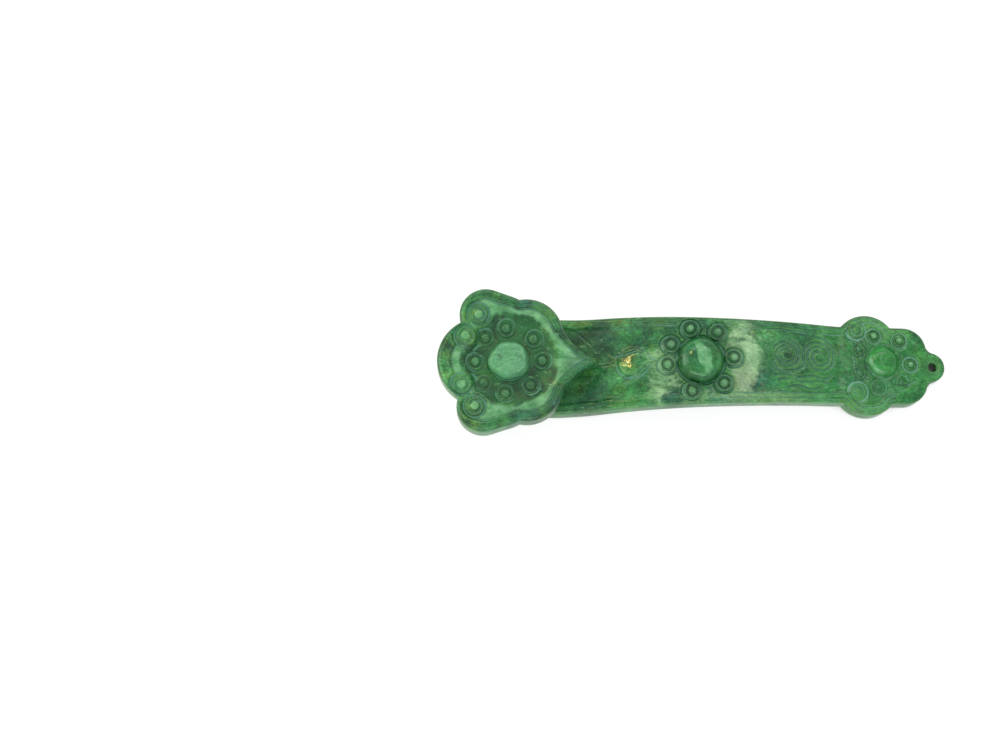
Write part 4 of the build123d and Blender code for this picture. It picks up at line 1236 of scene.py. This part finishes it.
head_seats = np.column_stack([HEAD_SPOTS + (HEAD_X, 0), np.full(len(HEAD_SPOTS), DISH_FLOOR)])
head_ups = np.tile((0.0, 0.0, 1.0), (len(HEAD_SPOTS), 1))
bead_ring("head", head_seats, head_ups, HEAD_STANDS, HEAD_BEAD_RADIUS, 11, 0.45)
middle_lengths = length_at(ARCH_X - MIDDLE_OFFSET + MIDDLE_SPOTS[:, 0])
middle_seats, middle_ups = shaft_seats(middle_lengths, MIDDLE_SPOTS[:, 1], 0.0)
bead_ring("middle", middle_seats, middle_ups, MIDDLE_STANDS, MIDDLE_BEAD_RADIUS, 12, 0.75)
tail_s, tail_y = (TAIL_SPOTS + (JOINT_S + TAIL_BOSS_AHEAD, TAIL_BOSS_Y)).T
tail_seats, tail_ups = shaft_seats(tail_s, tail_y, TAIL_SINK)
bead_ring("tail", tail_seats, tail_ups, TAIL_STANDS, TAIL_BEAD_RADIUS, 13, 0.95)

# %% [markdown]
# ## Camera, light and floor
# The camera stands high over the scepter's left half with a long lens, as in the photograph, and is turned by a
# tenth of a degree. Polished stone shows its lamps, so each lamp is there for a highlight that can be seen: a
# narrow strip overhead for the bright band on the arch, boxes behind and at the left for the soft sheen, a strip
# in front for the near edges, and a small warm lamp behind left for the golden glint on the peach.

# %% Camera
TILT, ROLL, DISTANCE = math.radians(77.0), math.radians(0.1), 453.67
TARGET = np.array([-43.65, -1.98, 5.0])
back = np.array([0, -math.cos(TILT), math.sin(TILT)])
right = np.array([1.0, 0, 0])
up = np.cross(back, right)
camera_data = bpy.data.cameras.new("camera")
camera_data.sensor_width, camera_data.lens = 36.0, 72.0
camera = bpy.data.objects.new("camera", camera_data)
bpy.context.scene.collection.objects.link(camera)
axes = np.stack([
    math.cos(ROLL) * right - math.sin(ROLL) * up, math.sin(ROLL) * right + math.cos(ROLL) * up, back], 1)
camera.matrix_world = Matrix.Translation(Vector((TARGET + DISTANCE * back) * MM)) @ Matrix(axes.tolist()).to_4x4()
bpy.context.scene.camera = camera
bpy.context.scene.view_settings.view_transform = "Standard"
print("camera at", (TARGET + DISTANCE * back).round(1))


# %% Lights and world
def soft_box(name, place, aim, size, power, colour=(1, 1, 1)):
    """Rectangular soft light that faces a point; places in millimetres."""
    lamp = bpy.data.lights.new(name, "AREA")
    lamp.shape, lamp.size, lamp.size_y = "RECTANGLE", size[0] * MM, size[1] * MM
    lamp.energy, lamp.color = power, colour
    made = bpy.data.objects.new(name, lamp)
    made.location = Vector(place) * MM
    made.rotation_euler = (Vector(place) - Vector(aim)).to_track_quat("Z", "Y").to_euler()
    bpy.context.scene.collection.objects.link(made)


soft_box("overhead_strip", (182, 175, 620), (182, 175, 0), (64, 600), 0.32)
soft_box("back_box", (0, 450, 450), (0, 0, 5), (600, 160), 0.7)
soft_box("side_box", (-560, 60, 220), (-20, 0, 5), (400, 400), 1.0)
soft_box("front_strip", (-100, -520, 250), (0, 0, 0), (600, 150), 0.8)
soft_box("warm_lamp", (-250, 230, 330), (-14, 1, 10), (44, 44), 0.25, (1.0, 0.68, 0.22))
world = bpy.data.worlds.new("studio")
bpy.context.scene.world = world
world.use_nodes = True
sky = world.node_tree.nodes["Background"].inputs
sky["Color"].default_value, sky["Strength"].default_value = (0.95, 0.98, 1.0, 1), 0.7
print("lamps:", [lamp.name for lamp in bpy.data.lights])

# %% [markdown]
# The scepter lies on a white table. White paper lit only by these lamps would come out grey, so the paper glows
# where the camera or a reflection looks at it, and a dull base under the glow still takes a soft shadow. In the
# cord hole little sky reaches the paper, so the glow is dimmed where the stone closes it in.

# %% Floor
FLOOR_HALF, FLOOR_Z = 2.0, -0.01 * MM
PAPER, PAPER_IN_VIEW = (0.8, 0.8, 0.8, 1), (0.25, 0.25, 0.25, 1)
GLOW, GLOW_IN_REFLECTIONS, SKY_REACH = 0.85, 0.3, 4.0
corners = [(sx * FLOOR_HALF, sy * FLOOR_HALF, FLOOR_Z) for sx, sy in ((-1, -1), (1, -1), (1, 1), (-1, 1))]
floor_mesh = bpy.data.meshes.new("floor")
floor_mesh.from_pydata(corners, [], [(0, 1, 2, 3)])
floor = bpy.data.objects.new("floor", floor_mesh)
bpy.context.scene.collection.objects.link(floor)
paper = bpy.data.materials.new("white_table")
paper.use_nodes = True
paper.node_tree.nodes.clear()
sheet = Nodes(paper.node_tree)
ray = sheet.node("ShaderNodeLightPath").outputs
in_reflections = sheet.math("MULTIPLY", ray["Is Glossy Ray"], GLOW_IN_REFLECTIONS)
seen = sheet.math("MAXIMUM", sheet.math("MAXIMUM", ray["Is Camera Ray"], in_reflections), ray["Is Transmission Ray"])
around = sheet.node("ShaderNodeAmbientOcclusion", {"Distance": SKY_REACH * MM}, samples=8)
open_sky = sheet.span(around.outputs["AO"], 0.2, 0.45, kind="LINEAR")
level = sheet.math("MULTIPLY", sheet.math("MULTIPLY", seen, GLOW), open_sky)
matt = sheet.node("ShaderNodeBsdfDiffuse", {"Color": sheet.mix(ray["Is Camera Ray"], PAPER, PAPER_IN_VIEW)})
glow = sheet.node("ShaderNodeEmission", {"Strength": level})
both = sheet.node("ShaderNodeAddShader", {0: matt.outputs[0], 1: glow.outputs[0]})
sheet.node("ShaderNodeOutputMaterial", {"Surface": both.outputs[0]})
floor_mesh.materials.append(paper)
print("floor:", floor.name, "with", len(sheet.tree.nodes), "nodes")

# %% [markdown]
# ## Check the size and finish
# The finer forms have to stay inside the box of the solids.
